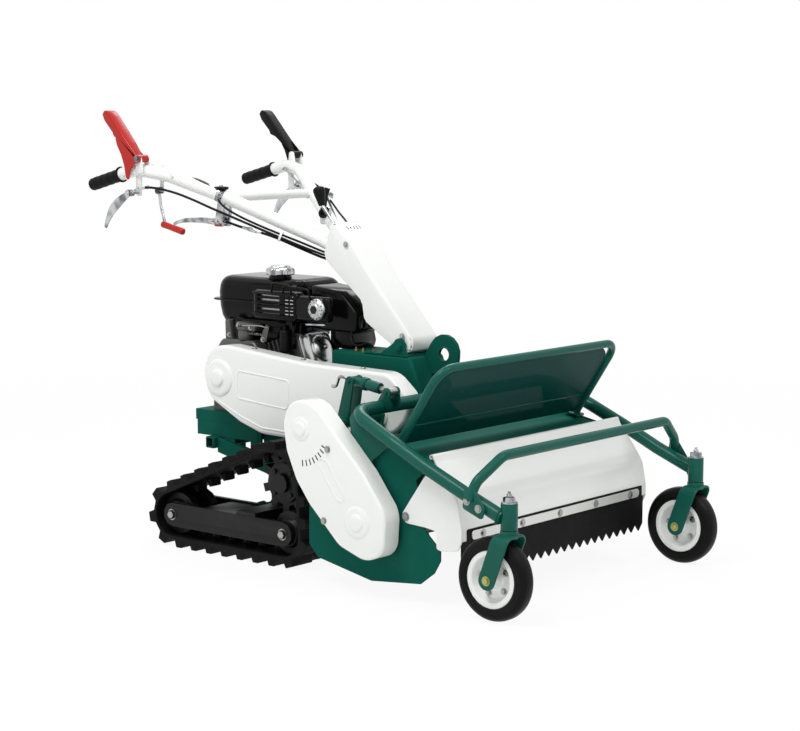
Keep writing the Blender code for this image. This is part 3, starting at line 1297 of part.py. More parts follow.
def jack_arms():
    """Sleeve that turns on the pivot tube, with twin arms up to the jack's rear pin."""
    sleeve = across(COUNTER_X, COUNTER_Z, -DECK_HALF + 0.0084, JACK_Y + 0.042, COUNTER_TUBE, 16)
    outline = [(COUNTER_X - 0.020, COUNTER_Z), (COUNTER_X + 0.016, COUNTER_Z - 0.008)] + arc(JACK_REAR[0], JACK_REAR[1], 0.0125, -10, 170, 5)
    arms = twin_ears(outline)
    pin = across(*JACK_REAR, JACK_Y - JACK_EAR_HALF - 0.008, JACK_Y + JACK_EAR_HALF + 0.008, JACK_PIN, 8)
    arm = [
        (COUNTER_X + 0.008, COUNTER_Z - 0.010), (0.200, 0.385), (0.212, 0.410), (COUNTER_X + 0.006, COUNTER_Z + 0.012),
    ]
    key = plate(arm, -DECK_HALF + 0.013, -DECK_HALF + 0.021)
    bore = across(COUNTER_X, COUNTER_Z, -DECK_HALF * 2, CASE_FACE_Y, COUNTER_TUBE_INNER + RUNNING, 16)
    return solid(sleeve, *arms, pin, key, less=[bore])


def deck_case_outline():
    return rounded(
        [(0.090, 0.340), (0.122, 0.270), (0.165, 0.215), (0.262, 0.124), (0.345, 0.096), (0.405, 0.118), (0.412, 0.220),
         (0.340, 0.312), (0.190, 0.458), (0.150, 0.474), (0.100, 0.462), (0.078, 0.412)], 0.045, 1, closed=True)


def deck_case():
    """Belt cover of the deck: two domes, a pressed rib and bolt heads."""
    face = DECK_CASE_BACK_Y - DECK_CASE_DEPTH
    extra = []
    for x, z, r in ((COUNTER_X, COUNTER_Z, 0.030), (ROTOR_X, ROTOR_Z, 0.040)):
        extra.append(turned([(0, 0.008), (r * 0.6, 0.006), (r * 0.9, 0.002), (r, -0.003), (0, -0.003)], (x, face, z), (0, -1, 0)))
    for x, z in ((0.229, 0.358), (0.216, 0.180), *CASE_POSTS):
        extra.append(across(x, z, face + 0.002, face - 0.004, 0.0075, 6))
    rib = [(COUNTER_X + 0.045, COUNTER_Z + 0.030), (0.262, 0.338), (0.330, 0.268), (0.375, 0.215)]
    side = [(x + 0.006, z + 0.006) for x, z in rib]
    extra.append(softened(plate(rib + side[::-1], face - 0.003, face + 0.002), 0.001))
    return case_shell(deck_case_outline(), face, DECK_CASE_BACK_Y, CASE_SHEET, extra=extra)


def hammer_knife():
    """One knife at the rotor's axis, pointing along +X: lug, shank and the wide head."""
    shank = [(0.044, -0.009), (0.112, -0.007), (0.112, 0.0085), (0.044, 0.009)]
    head = [(0.096, -0.014), (0.128, -0.030), (KNIFE_REACH, -0.026), (KNIFE_REACH, 0.006), (0.120, 0.013), (0.096, 0.011)]
    lug = [(0.029, -0.014), (0.059, -0.011), (0.059, 0.011), (0.029, 0.014)]
    return solid(plate(shank, -0.004, 0.004), plate(head, -0.017, 0.017), plate(lug, -0.010, 0.010))


def flail_rotor():
    """Tube with the hammer knives hung on it and the shaft, in their running position."""
    pieces = [across(ROTOR_X, ROTOR_Z, DECK_BELT_Y - 0.016, DECK_HALF - 0.002, ROTOR_SHAFT, 10)]
    row = DECK_HALF - 0.073
    knife = hammer_knife()
    for k in range(KNIVES):
        y = -row + k * 2 * row / (KNIVES - 1)
        for half_turn in (0, 180):
            angle = math.radians(half_turn + (97 if k % 2 else 7) + 15)
            copy = knife.copy()
            copy.transform(Matrix.Translation((ROTOR_X, y, ROTOR_Z)) @ Matrix.Rotation(-angle, 4, "Y"))
            pieces.append(copy)
    half = DECK_HALF - 0.036
    return solid(across(ROTOR_X, ROTOR_Z, -half, half, ROTOR_TUBE, 16), *pieces)


def rotor_pulley():
    """Deck side pulley, keyed on the rotor's shaft outside the side plate."""
    profile = pulley_profile(ROTOR_PULLEY, DECK_BELT_Y - 0.013, DECK_BELT_Y + 0.013, ROTOR_SHAFT + SEAT)
    return turned(profile, (ROTOR_X, 0, ROTOR_Z), (0, 1, 0), 16, ring=True)


HOOD_SIDE = [
    (0.410, 0.212), (0.424, 0.192), (0.484, 0.189), (0.517, 0.184), (0.518, 0.142), (0.531, 0.138), (0.583, 0.144),
    (0.594, 0.166), (0.594, 0.196), (0.583, 0.254), (0.572, 0.272), (0.515, 0.347), (0.479, 0.309),
]


def front_hood():
    """Hinged front cover: two side plates, the skin between them and its turned up lip."""
    half = HOOD_HALF
    skin = [(0.5934, 0.1670), (0.5934, 0.1960), (0.5824, 0.2538), (0.5714, 0.2716), (0.5146, 0.3463), (0.508, 0.3600)]
    pieces = [plate(strip(skin, HOOD_SHEET), -half, half)]
    for side in (-1, 1):
        y0, y1 = sorted((side * (half - 0.001), side * (half - 0.001 + HOOD_SHEET)))
        pieces.append(plate(HOOD_SIDE, y0, y1))
    return solid(*pieces, less=[across(HOOD_X, HOOD_Z, -half - 0.1, half + 0.1, 0.006 + RUNNING, 16)])


def rubber_flap():
    """Sheet inside the hood's skin, its foot cut into teeth."""
    half = DECK_HALF - 0.004
    pitch = 2 * half / FLAP_TEETH
    outline = [(half, 0.194), (-half, 0.194)]
    for k in range(FLAP_TEETH):
        left = -half + k * pitch
        outline += [(left, 0.092), (left + pitch * 0.18, 0.074), (left + pitch * 0.62, 0.074), (left + pitch * 0.80, 0.092)]
    outline.append((half, 0.092))
    mesh = plate([(y, z) for y, z in outline], -0.5 * FLAP_SHEET, 0.5 * FLAP_SHEET)
    mesh.transform(Matrix.Translation((0.5934 - HOOD_SHEET - SEAT - FLAP_SHEET / 2, 0, 0)) @ Matrix.Rotation(math.pi / 2, 4, "Z"))
    return mesh


def flap_strip():
    """Steel strip outside the skin that clamps the flap, with five bolts."""
    half = STRIP_LENGTH / 2
    x = 0.594 + SEAT
    bar = softened(box((x, -half, 0.168), (x + 0.003, half, 0.168 + STRIP_HEIGHT)), 0.001)
    reach = half - 0.043
    z = 0.168 + STRIP_HEIGHT / 2
    places = [reach * (k / 2 - 1) for k in range(5)]
    return solid(bar, *(rod((x + 0.001, y, z), (x + 0.008, y, z), 0.008, 6) for y in places))


def guard_panel():
    """Tinted sheet inside the guard's tube, its upper corners cut to clear the bends."""
    long = math.dist(GUARD_FOOT, GUARD_HEAD)
    half = GUARD_HALF - GUARD_TUBE - SEAT
    top = long - GUARD_TUBE - SEAT
    cut = GUARD_BEND * 0.8
    flat = [(-half, 0.012), (half, 0.012), (half, top - cut), (half - cut, top), (cut - half, top), (-half, top - cut)]
    mesh = plate(flat, -GUARD_SHEET / 2, GUARD_SHEET / 2)
    lean = math.atan2(GUARD_HEAD[0] - GUARD_FOOT[0], GUARD_HEAD[1] - GUARD_FOOT[1])
    place = Matrix.Translation((GUARD_FOOT[0], 0, GUARD_FOOT[1]))
    mesh.transform(place @ Matrix.Rotation(lean, 4, "Y") @ Matrix.Rotation(math.pi / 2, 4, "Z"))
    return mesh


def guard_tube():
    """Bent tube guard that stands on the deck's roof, on two small feet."""
    g = GUARD_HALF
    foot_x, foot_z = GUARD_FOOT
    head_x, head_z = GUARD_HEAD
    path = [(foot_x, -g, foot_z), (head_x, -g, head_z), (head_x, g, head_z), (foot_x, g, foot_z)]
    pieces = [tube(path, GUARD_TUBE, [0, GUARD_BEND, GUARD_BEND, 0])]
    for side in (-1, 1):
        sole = [(x, roof_top(x) + SEAT) for x in (foot_x - 0.022, foot_x + 0.022)]
        outline = sole + [(x, z + 0.006) for x, z in sole[::-1]]
        pieces.append(plate(outline, *sorted((side * (g - 0.022), side * (g + 0.0115)))))
    return solid(*pieces)


def deck():
    node("deck_shell", deck_shell(), GREEN)
    node("jack_arms", jack_arms(), GREEN)
    node("deck_case", deck_case(), WHITE)
    node("flail_rotor", flail_rotor(), STEEL, (ROTOR_X, 0, ROTOR_Z))
    node("rotor_pulley", rotor_pulley(), BLACK, (ROTOR_X, 0, ROTOR_Z))
    loop = belt_loop((COUNTER_X, COUNTER_Z), DECK_PULLEY, (ROTOR_X, ROTOR_Z), ROTOR_PULLEY, DECK_BELT_Y)
    node("deck_drive_belt", loop, RUBBER)
    node("front_hood", front_hood(), WHITE, (HOOD_X, 0, HOOD_Z))
    node("rubber_flap", rubber_flap(), RUBBER)
    node("flap_strip", flap_strip(), STEEL)
    node("guard_panel", guard_panel(), GREEN)
    node("guard_tube", guard_tube(), GREEN)


# Caster frame
def arm_path(side):
    points = [(0.262, -0.088, 0.447), (0.262, 0.010, 0.447), (0.400, 0.024, 0.388), (0.505, 0.0285, 0.341),
              (0.614, 0.0240, 0.293), (CASTER_X - 0.012, 0.0230, 0.2480)]
    return [(x, side * (DECK_HALF + y), z) for x, y, z in points]


def caster_frame():
    """U tube with its pivot brackets, the jack's clevis and the two caster tubes, all welded."""
    path = arm_path(-1)[::-1] + arm_path(1)
    pieces = [tube(path, FRAME_TUBE, 0.055)]
    bores = []
    for side in (-1, 1):
        y0, y1 = sorted((side * WING_Y, side * (WING_Y + WING_SHEET)))
        wing = [(0.262, 0.312), (0.300, 0.312), (0.395, 0.392), (0.262, 0.450), (0.250, 0.430)]
        pieces.append(plate(rounded(wing, 0.012, 2, closed=True), y0, y1))
        y0, y1 = sorted((side * (DECK_HALF - 0.018), side * (DECK_HALF + 0.112)))
        bores.append(across(FRAME_PIVOT_X, FRAME_PIVOT_Z, y0, y1, 0.009 + RUNNING))
        y = side * CASTER_Y
        pieces.append(rod((CASTER_X, y, CASTER_TUBE_FOOT), (CASTER_X, y, CASTER_TUBE_TOP), CASTER_TUBE, 16))
        bores.append(rod((CASTER_X, y, 0.1), (CASTER_X, y, 0.5), 0.012 + RUNNING, 18))
    pieces += twin_ears([(0.247, 0.447), (0.297, 0.447)] + arc(*JACK_FRONT, 0.012, -20, 170, 5))
    pieces.append(across(*JACK_FRONT, JACK_Y - JACK_EAR_HALF - 0.008, JACK_Y + JACK_EAR_HALF + 0.008, JACK_PIN, 8))
    return solid(*pieces, less=bores)


def front_bar():
    """Bent bar across the front, bolted to the arms."""
    path = [(0.652, DECK_HALF + 0.0530, 0.283), (0.660, DECK_HALF + 0.032, 0.325), (0.680, DECK_HALF - 0.043, 0.378)]
    whole = [(x, -y, z) for x, y, z in path] + path[::-1]
    tab_y = DECK_HALF + 0.0455
    pieces = [tube(whole, FRONT_BAR_TUBE, 0.045)]
    for side in (-1, 1):
        tab = [(0.632, 0.262), (0.690, 0.240), (0.696, 0.268), (0.664, 0.312), (0.638, 0.312)]
        y0, y1 = sorted((side * tab_y, side * (tab_y + 0.005)))
        pieces.append(plate(rounded(tab, 0.008, 2, closed=True), y0, y1))
        for x, z, depth in ((0.645, 0.280, 0.0010), (0.679, 0.266, 0.0010)):
            pieces.append(across(x, z, side * (tab_y - depth), side * (tab_y + 0.0095), 0.0075, 6))
    return solid(*pieces)


def caster_fork():
    """Left side: stem, crown and two fork legs with the axle."""
    x, y = CASTER_X, CASTER_Y
    stem = rod((x, y, 0.2045), (x, y, CASTER_TUBE_TOP + 0.012), 0.012, 12)
    nut = rod((x, y, CASTER_TUBE_TOP + 0.0012), (x, y, CASTER_TUBE_TOP + 0.014), 0.0165, 6)
    collar = rod((x, y, 0.200), (x, y, CASTER_TUBE_FOOT - 0.001), 0.0215, 16)
    wheel_x = x - CASTER_TRAIL
    crown = softened(box((x - 0.050, y - 0.037, 0.2035), (x + 0.024, y + 0.037, 0.2095)), 0.002)
    legs = []
    for t in (-1, 1):
        leg = [(wheel_x - 0.016, 0.088), (wheel_x + 0.016, 0.090), (x + 0.022, 0.200), (x + 0.022, 0.208), (x - 0.046, 0.208), (x - 0.046, 0.196)]
        low, high = sorted((y + t * 0.031, y + t * 0.037))
        legs.append(plate(leg, low, high))
    axle = across(wheel_x, CASTER_WHEEL, y - 0.044, y + 0.044, 0.0075, 8)
    heads = [across(wheel_x, CASTER_WHEEL, y + t * 0.036, y + t * 0.043, 0.012, 6) for t in (-1, 1)]
    return solid(stem, nut, collar, crown, *legs, axle, *heads)


def caster_rim():
    """Left side: hub, disc and rim in one turned casting."""
    y = CASTER_Y
    profile = [(0.0081, 0.029), (0.022, 0.029), (0.024, 0.008), (0.060, 0.008), (0.068, 0.021),
               (0.068, -0.021), (0.060, -0.008), (0.024, -0.008), (0.022, -0.029), (0.0081, -0.029)]
    return turned(profile, (CASTER_X - CASTER_TRAIL, y, CASTER_WHEEL), (0, 1, 0), 16, ring=True)


def caster_tyre():
    """Left side: solid rubber tyre with rounded shoulders."""
    half = CASTER_TYRE / 2
    profile = [(0.0683, half - 0.001), (0.086, half), (0.095, half - 0.005), (0.100, half - 0.014),
               (0.100, 0.014 - half), (0.095, 0.005 - half), (0.086, -half), (0.0683, 0.001 - half)]
    return turned(profile, (CASTER_X - CASTER_TRAIL, CASTER_Y, CASTER_WHEEL), (0, 1, 0), 16, ring=True)


def along_jack(s, low=0.0):
    """The point at distance s from the jack's rear pin towards its front pin."""
    a, b = Vector(JACK_REAR), Vector(JACK_FRONT)
    place = a + (b - a).normalized() * s
    return (place.x, JACK_Y, place.y + low)


def jack_body():
    """Jack tube with its rear eye and the folding crank handle at its end."""
    eye = across(*JACK_REAR, JACK_Y - 0.0135, JACK_Y + 0.0135, 0.011, 10)
    barrel = rod(along_jack(0.004), along_jack(0.086), JACK_TUBE, 18)
    crank = tube([along_jack(-0.006), along_jack(-0.050), along_jack(-0.062, -0.030), along_jack(-0.075, -0.032)], 0.0045, 0.01)
    hollow = rod(along_jack(0.030), along_jack(0.2), 0.0082, 8)
    bore = across(*JACK_REAR, JACK_Y * 2, 0, JACK_PIN + PIN_PLAY, 16)
    return solid(eye, barrel, crank, less=[bore, hollow])


def jack_screw():
    """Threaded rod out of the jack's tube to the clevis pin."""
    eye = across(*JACK_FRONT, JACK_Y - 0.0135, JACK_Y + 0.0135, 0.0105, 10)
    bar = rod(along_jack(0.056), along_jack(JACK_LENGTH - 0.004), 0.0075, 8)
    return solid(eye, bar, less=[across(*JACK_FRONT, JACK_Y * 2, 0, JACK_PIN + PIN_PLAY, 16)])


def casters():
    pivot = (FRAME_PIVOT_X, 0, FRAME_PIVOT_Z)
    node("caster_frame", caster_frame(), GREEN, pivot)
    node("front_bar", front_bar(), GREEN)
    sided(caster_fork, "caster_fork", GREEN, CASTER_X, CASTER_TUBE_FOOT, CASTER_Y)
    sided(caster_rim, "caster_rim", WHITE, CASTER_X - CASTER_TRAIL, CASTER_WHEEL, CASTER_Y)
    sided(caster_tyre, "caster_tyre", RUBBER, CASTER_X - CASTER_TRAIL, CASTER_WHEEL, CASTER_Y)
    node("jack_body", jack_body(), STEEL, (JACK_REAR[0], JACK_Y, JACK_REAR[1]))
    node("jack_screw", jack_screw(), STEEL, along_jack(0.056))


tracks()
chassis()
engine()
handles()
deck()
casters()
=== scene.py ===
import json
import math

import bmesh
import bpy
import numpy as np
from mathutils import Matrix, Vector

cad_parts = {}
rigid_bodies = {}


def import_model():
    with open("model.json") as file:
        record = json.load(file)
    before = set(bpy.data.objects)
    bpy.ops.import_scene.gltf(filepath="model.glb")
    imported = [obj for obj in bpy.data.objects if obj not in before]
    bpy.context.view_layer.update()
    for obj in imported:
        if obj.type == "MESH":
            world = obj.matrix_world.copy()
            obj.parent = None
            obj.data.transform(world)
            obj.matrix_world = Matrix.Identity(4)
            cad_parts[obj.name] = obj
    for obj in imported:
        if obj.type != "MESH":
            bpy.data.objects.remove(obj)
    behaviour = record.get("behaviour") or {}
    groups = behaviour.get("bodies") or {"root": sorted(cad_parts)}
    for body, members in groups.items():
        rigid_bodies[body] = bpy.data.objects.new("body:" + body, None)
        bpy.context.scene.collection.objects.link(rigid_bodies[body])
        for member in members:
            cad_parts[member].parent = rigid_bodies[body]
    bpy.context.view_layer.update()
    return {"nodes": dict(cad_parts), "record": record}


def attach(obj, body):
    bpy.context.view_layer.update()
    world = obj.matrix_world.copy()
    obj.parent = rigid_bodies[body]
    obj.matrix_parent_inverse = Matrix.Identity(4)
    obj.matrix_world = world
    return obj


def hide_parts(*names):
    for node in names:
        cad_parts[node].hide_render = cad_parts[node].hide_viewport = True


for thing in list(bpy.data.objects):
    bpy.data.objects.remove(thing)
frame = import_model()


# Studio
# A camera at the photograph's place, a pale floor that runs out into a pale world, and three broad
# soft lamps. Places in this file are counted from the middle of the tracks, as the part's source
# counts them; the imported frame's origin lies 10.4 mm ahead of that and 5.5 mm to its right.
DATUM = np.array([-0.0104, 0.0055, 0.0])


def spot(*place):
    """A place counted from the tracks' middle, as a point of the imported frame."""
    return np.asarray(place, float) + DATUM


def look_from(azimuth, elevation):
    """Unit direction towards the viewer, azimuth 0 being the right-hand side and 90 the front."""
    a, e = math.radians(azimuth), math.radians(elevation)
    return Vector((math.sin(a) * math.cos(e), -math.cos(a) * math.cos(e), math.sin(e)))


camera = bpy.data.objects.new("camera", bpy.data.cameras.new("camera"))
bpy.context.scene.collection.objects.link(camera)
bpy.context.scene.camera = camera
camera.data.sensor_width = 36
camera.data.lens = 91.85
camera.data.clip_end = 100
camera.location = spot(3.5028, -4.0819, 1.1817)
camera.rotation_mode = "QUATERNION"
camera.rotation_quaternion = (-look_from(40.008, 7.22)).to_track_quat("-Z", "Y")
bpy.context.scene.view_settings.view_transform = "Standard"


def lamp(name, azimuth, elevation, distance, size, watts):
    """A square soft lamp that looks at the middle of the machine."""
    light = bpy.data.lights.new(name, "AREA")
    light.energy, light.size = watts, size
    made = bpy.data.objects.new(name, light)
    made.location = Vector((0, 0, 0.5)) + look_from(azimuth, elevation) * distance
    made.rotation_mode = "QUATERNION"
    made.rotation_quaternion = (-look_from(azimuth, elevation)).to_track_quat("-Z", "Y")
    bpy.context.scene.collection.objects.link(made)


lamp("key_lamp", 5, 58, 3.4, 1.3, 62)
lamp("front_lamp", 85, 40, 3.6, 1.1, 22)
lamp("back_lamp", 215, 50, 3.6, 1.4, 34)


class Value:
    """A number or colour inside a node tree; arithmetic on it adds Math nodes there."""

    def __init__(self, nodes, socket):
        self.nodes, self.socket = nodes, socket

    def _math(self, operation, first, second):
        return self.nodes.node("ShaderNodeMath", {"operation": operation}, {0: first, 1: second})

    def __add__(self, other):
        return self._math("ADD", self, other)

    def __mul__(self, other):
        return self._math("MULTIPLY", self, other)

    def __rsub__(self, other):
        return self._math("SUBTRACT", other, self)

    def over(self, edge, soft):
        """0 below edge - soft and 1 above edge + soft, with a smooth step between."""
        settings = {"interpolation_type": "SMOOTHSTEP"}
        inputs = {"Value": self, "From Min": edge - soft, "From Max": edge + soft}
        return self.nodes.node("ShaderNodeMapRange", settings, inputs)


class Nodes:
    """A node tree being written: node() adds a node, with its settings and its inputs filled in."""

    def __init__(self, tree):
        self.tree = tree

    def node(self, kind, settings=None, inputs=None, output=0):
        made = self.tree.nodes.new(kind)
        for key, value in (settings or {}).items():
            setattr(made, key, value)
        for key, value in (inputs or {}).items():
            self.feed(made.inputs[key], value)
        return Value(self, made.outputs[output])

    def feed(self, socket, value):
        if isinstance(value, Value):
            self.tree.links.new(value.socket, socket)
        else:
            socket.default_value = value

    def seen_directly(self):
        """1 for rays that see the surface straight, by reflection or through glass, and 0 for light."""
        rays = self.tree.nodes.new("ShaderNodeLightPath").outputs
        total = Value(self, rays["Is Camera Ray"])
        for name in ("Is Glossy Ray", "Is Transmission Ray"):
            settings = {"operation": "ADD", "use_clamp": True}
            total = self.node("ShaderNodeMath", settings, {0: total, 1: Value(self, rays[name])})
        return total

    def shown_as(self, output, share, first, second):
        """Feeds an output node with first where share is 0 and second where it is 1."""
        self.feed(output.inputs[0], self.node("ShaderNodeMixShader", {}, {0: share, 1: first, 2: second}))


class Finish(Nodes):
    """A material being written: set() fills the surface's own sockets."""

    def __init__(self, name, **sockets):
        self.material = bpy.data.materials.new(name)
        self.material.use_nodes = True
        super().__init__(self.material.node_tree)
        self.surface = self.tree.nodes["Principled BSDF"]
        self.place = self.node("ShaderNodeTexCoord", output="Object")
        self.set(**sockets)

    def set(self, **sockets):
        for key, value in sockets.items():
            self.feed(self.surface.inputs[key.replace("_", " ")], value)

    def noise(self, scale, detail=3.0):
        inputs = {"Vector": self.place, "Scale": scale, "Detail": detail, "Roughness": 0.55}
        return self.node("ShaderNodeTexNoise", {}, inputs)

    def mixed(self, share, first, second):
        """first where share is 0 and second where it is 1, as a colour."""
        settings = {"data_type": "RGBA", "clamp_factor": True}
        return self.node("ShaderNodeMix", settings, {0: share, 6: first, 7: second}, 2)

    def bump(self, height, distance, strength=1.0):
        inputs = {"Height": height, "Distance": distance, "Strength": strength}
        self.set(Normal=self.node("ShaderNodeBump", {}, inputs))


world = bpy.data.worlds.new("studio")
bpy.context.scene.world = world
world.use_nodes = True
world.node_tree.nodes.clear()
sky = Nodes(world.node_tree)
lit, seen = (sky.node("ShaderNodeBackground", {}, {"Color": colour, "Strength": strength})
             for colour, strength in (((0.98, 0.99, 1.0, 1), 0.62), ((1, 1, 1, 1), 1.0)))
sky.shown_as(sky.tree.nodes.new("ShaderNodeOutputWorld"), sky.seen_directly(), lit, seen)

# The floor glows white to the eye, by 0.92 near the machine and wholly from 5 m out, so that it
# keeps a soft shadow and still meets the world without a line.
floor_mesh = bpy.data.meshes.new("floor")
floor_mesh.from_pydata([(-40, -40, 0), (40, -40, 0), (40, 40, 0), (-40, 40, 0)], [], [(0, 1, 2, 3)])
floor = bpy.data.objects.new("floor", floor_mesh)
bpy.context.scene.collection.objects.link(floor)
ground = Finish("pale_floor", Base_Color=(0.93, 0.93, 0.93, 1), Roughness=0.9)
glow = ground.node("ShaderNodeEmission", {}, {"Color": (1, 1, 1, 1)})
away = ground.node("ShaderNodeVectorMath", {"operation": "LENGTH"}, {0: ground.place}, "Value")
ramp = {"Value": away, "From Min": 1.0, "From Max": 5.0, "To Min": 0.92, "To Max": 1.0}
fading = ground.node("ShaderNodeMapRange", {"interpolation_type": "SMOOTHSTEP"}, ramp)
ground.shown_as(ground.tree.nodes["Material Output"], ground.seen_directly() * fading,
                Value(ground, ground.surface.outputs[0]), glow)
floor_mesh.materials.append(ground.material)


# Main frame
# Beam, mitred front leg, post and lifting plate of folded steel, welded and painted green. The solids
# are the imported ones; each is shown by a copy with its doubles merged and its edges softly broken.
def shade(red, green, blue):
    """A colour read off a screen in 0 to 255, as the linear colour that renders as it."""
    values = np.array([red, green, blue]) / 255
    linear = np.where(values < 0.04045, values / 12.92, ((values + 0.055) / 1.055) ** 2.4)
    return (*map(float, linear), 1.0)


def enamel(name, colour, dust, roughness=0.3, dusty=0.5, gloss=0.22):
    """Sprayed enamel: an even gloss, faint orange peel, and dust low on the machine."""
    made = Finish(name, Specular_IOR_Level=gloss)
    height = made.node("ShaderNodeSeparateXYZ", {}, {"Vector": made.place}, "Z")
    low = 1 - height.over(0.24, 0.22)
    cloud = made.noise(11.0, 5.0).over(0.6, 0.16)
    made.set(Base_Color=made.mixed(cloud * (low * 0.7 + 0.1) * dusty, colour, dust))
    made.set(Roughness=made.noise(30.0) * 0.08 + low * 0.1 + (roughness - 0.04))
    made.bump(made.noise(420.0, 2.0), 0.00005, 0.5)
    return made.material


GREEN = (15, 84, 72)
green_enamel = enamel("green_enamel", shade(*GREEN), shade(40, 98, 84), 0.24, 0.4, 0.16)


def merged(mesh):
    """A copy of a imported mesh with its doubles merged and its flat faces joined."""
    work = bmesh.new()
    work.from_mesh(mesh)
    bmesh.ops.remove_doubles(work, verts=work.verts, dist=2e-6)
    bmesh.ops.dissolve_limit(work, angle_limit=math.radians(0.5), verts=work.verts, edges=work.edges)
    copy = bpy.data.meshes.new(mesh.name + "_shown")
    work.to_mesh(copy)
    work.free()
    return copy


def finished(name, mesh, material, body, replaces=(), smooth=40, edge=0.0):
    """Puts a mesh in the scene with its material, its body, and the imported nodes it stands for."""
    made = bpy.data.objects.new(name, mesh)
    bpy.context.scene.collection.objects.link(made)
    mesh.materials.clear()
    mesh.materials.append(material)
    if edge:
        bevel = made.modifiers.new("broken_edges", "BEVEL")
        bevel.width, bevel.segments, bevel.limit_method = edge, 2, "ANGLE"
        bevel.angle_limit = math.radians(38)
        bevel.harden_normals = True
        bevel.use_clamp_overlap = True
    mesh.shade_smooth()
    if smooth < 180:
        mesh.set_sharp_from_angle(angle=math.radians(smooth))
    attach(made, body)
    if replaces:
        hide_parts(*replaces)
    return made


node_body = {n: b for b, members in frame["record"]["behaviour"]["bodies"].items() for n in members}


def dressed(node, material, edge=0.0008, smooth=40):
    """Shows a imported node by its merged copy, edges broken by a small bevel."""
    mesh = merged(frame["nodes"][node].data)
    return finished(node + "_dressed", mesh, material, node_body[node], [node], smooth, edge)


sheet_enamel = enamel("sheet_enamel", shade(*GREEN), shade(36, 94, 80), 0.5, 0.4, 0.03)
for name, edge in (("main_frame", 0.003), ("rear_frame", 0.001), ("engine_bed", 0.001), ("handle_bracket", 0.001)):
    dressed(name, sheet_enamel, edge)


def unit(rows):
    """Each row's vector over its own length."""
    return rows / np.linalg.norm(rows, axis=-1, keepdims=True)


def fillet(corners, radius, steps=6, closed=False):
    """A line whose corners are arcs: Q(s) = ((1-s)^2 A + 2 w s (1-s) C + s^2 B) / the same weights' sum,
    with C the corner, A and B cut back from it by r / tan of its half angle h, and w = sin h."""
    corners = np.asarray(corners, float)
    back, ahead = np.roll(corners, 1, 0) - corners, np.roll(corners, -1, 0) - corners
    reach = np.minimum(np.linalg.norm(back, axis=1), np.linalg.norm(ahead, axis=1)) * 0.49
    half = np.arccos(np.clip((unit(back) * unit(ahead)).sum(1), -1, 1)) / 2
    cut = np.minimum(np.broadcast_to(radius, len(corners)) / np.tan(half), reach)[:, None]
    if not closed:
        cut[[0, -1]] = 0
    first, last = corners + unit(back) * cut, corners + unit(ahead) * cut
    s = np.linspace(0, 1, steps + 1)[None, :, None]
    weight = 2 * np.sin(half)[:, None, None] * s * (1 - s)
    arcs = (1 - s) ** 2 * first[:, None] + weight * corners[:, None] + s**2 * last[:, None]
    line = (arcs / ((1 - s) ** 2 + weight + s**2)).reshape(-1, corners.shape[1])
    new = np.linalg.norm(line - np.roll(line, 1, 0), axis=1) > 1e-6
    if not closed:
        new[0] = True
    return line[new]


ACROSS, UP = (0, 1, 0), (0, 0, 1)


def turned(profile, centre, axis, count=48, wave=None):
    """Turned work: P(t, a) = centre + h(t) axis + r(t) wave(a) (u cos a + v sin a), for (r, h) pairs."""
    axis = unit(np.asarray(axis, float))
    u = unit(np.cross(axis, (0.31, 0.52, 0.79) if abs(axis[1]) < 0.9 else (0.0, 0.0, 1.0)))
    v = np.cross(axis, u)
    a = np.arange(count) / count * math.tau
    out = np.cos(a)[:, None] * u + np.sin(a)[:, None] * v
    r, h = np.asarray(profile, float).T
    swell = np.ones(count) if wave is None else wave(a)
    radius = r[:, None] * swell[None, :]
    return np.asarray(centre, float) + radius[..., None] * out[None] + h[:, None, None] * axis


def carried(path, section, upright=UP, closed=False):
    """A section carried along a path: P(s, a) = path(s) + x(a) side(s) + y(a) top(s), where side is square
    to the run and to upright, and top to both."""
    path = np.asarray(path, float)
    step = unit(np.roll(path, -1, 0) - path)
    run = unit(step + np.roll(step, 1, 0))
    if not closed:
        run[0], run[-1] = step[0], step[-2]
    side = unit(np.cross(run, upright))
    top = np.cross(side, run)
    section = np.broadcast_to(section, (len(path), *np.shape(section)[-2:]))
    grid = path[:, None] + section[..., :1] * side[:, None] + section[..., 1:] * top[:, None]
    return np.concatenate([grid, grid[:1]]) if closed else grid


def round_section(radius, count=20):
    """(r cos a, r sin a)."""
    a = np.arange(count) / count * math.tau
    return np.stack([np.cos(a), np.sin(a)], 1) * radius


def flat_section(half_width, half_depth, power=4.0, count=28):
    """A softened rectangle: x = w |cos a|^(2/n), y = d |sin a|^(2/n), each with the sign of its sine."""
    a = (np.arange(count) + 0.5) / count * math.tau
    soft = np.stack([np.cos(a), np.sin(a)], 1)
    soft = np.sign(soft) * np.abs(soft) ** (2 / power)
    sizes = np.stack(np.broadcast_arrays(np.atleast_1d(half_width), np.atleast_1d(half_depth)), -1)
    return sizes[:, None, :] * soft[None]


def slab(outline, levels, origin=(0, 0, 0), u=(1, 0, 0), v=UP, w=ACROSS):
    """Plate: P(t, a) = outline(a) drawn in by inset(t) along its mitres, at depth(t) along w."""
    outline = np.asarray(outline, float)
    x, y = outline.T
    if (x * np.roll(y, -1) - np.roll(x, -1) * y).sum() < 0:
        outline = outline[::-1]
    run = unit(np.roll(outline, -1, 0) - outline)
    normal = np.stack([-run[:, 1], run[:, 0]], 1)
    before = np.roll(normal, 1, 0)
    mitre = (normal + before) / (1 + (normal * before).sum(1, keepdims=True))
    inset, depth = np.asarray(levels, float).T
    flat = outline[None] + inset[:, None, None] * mitre[None]
    u, v, w = (np.asarray(side, float) for side in (u, v, w))
    return np.asarray(origin, float) + flat[..., :1] * u + flat[..., 1:] * v + depth[:, None, None] * w


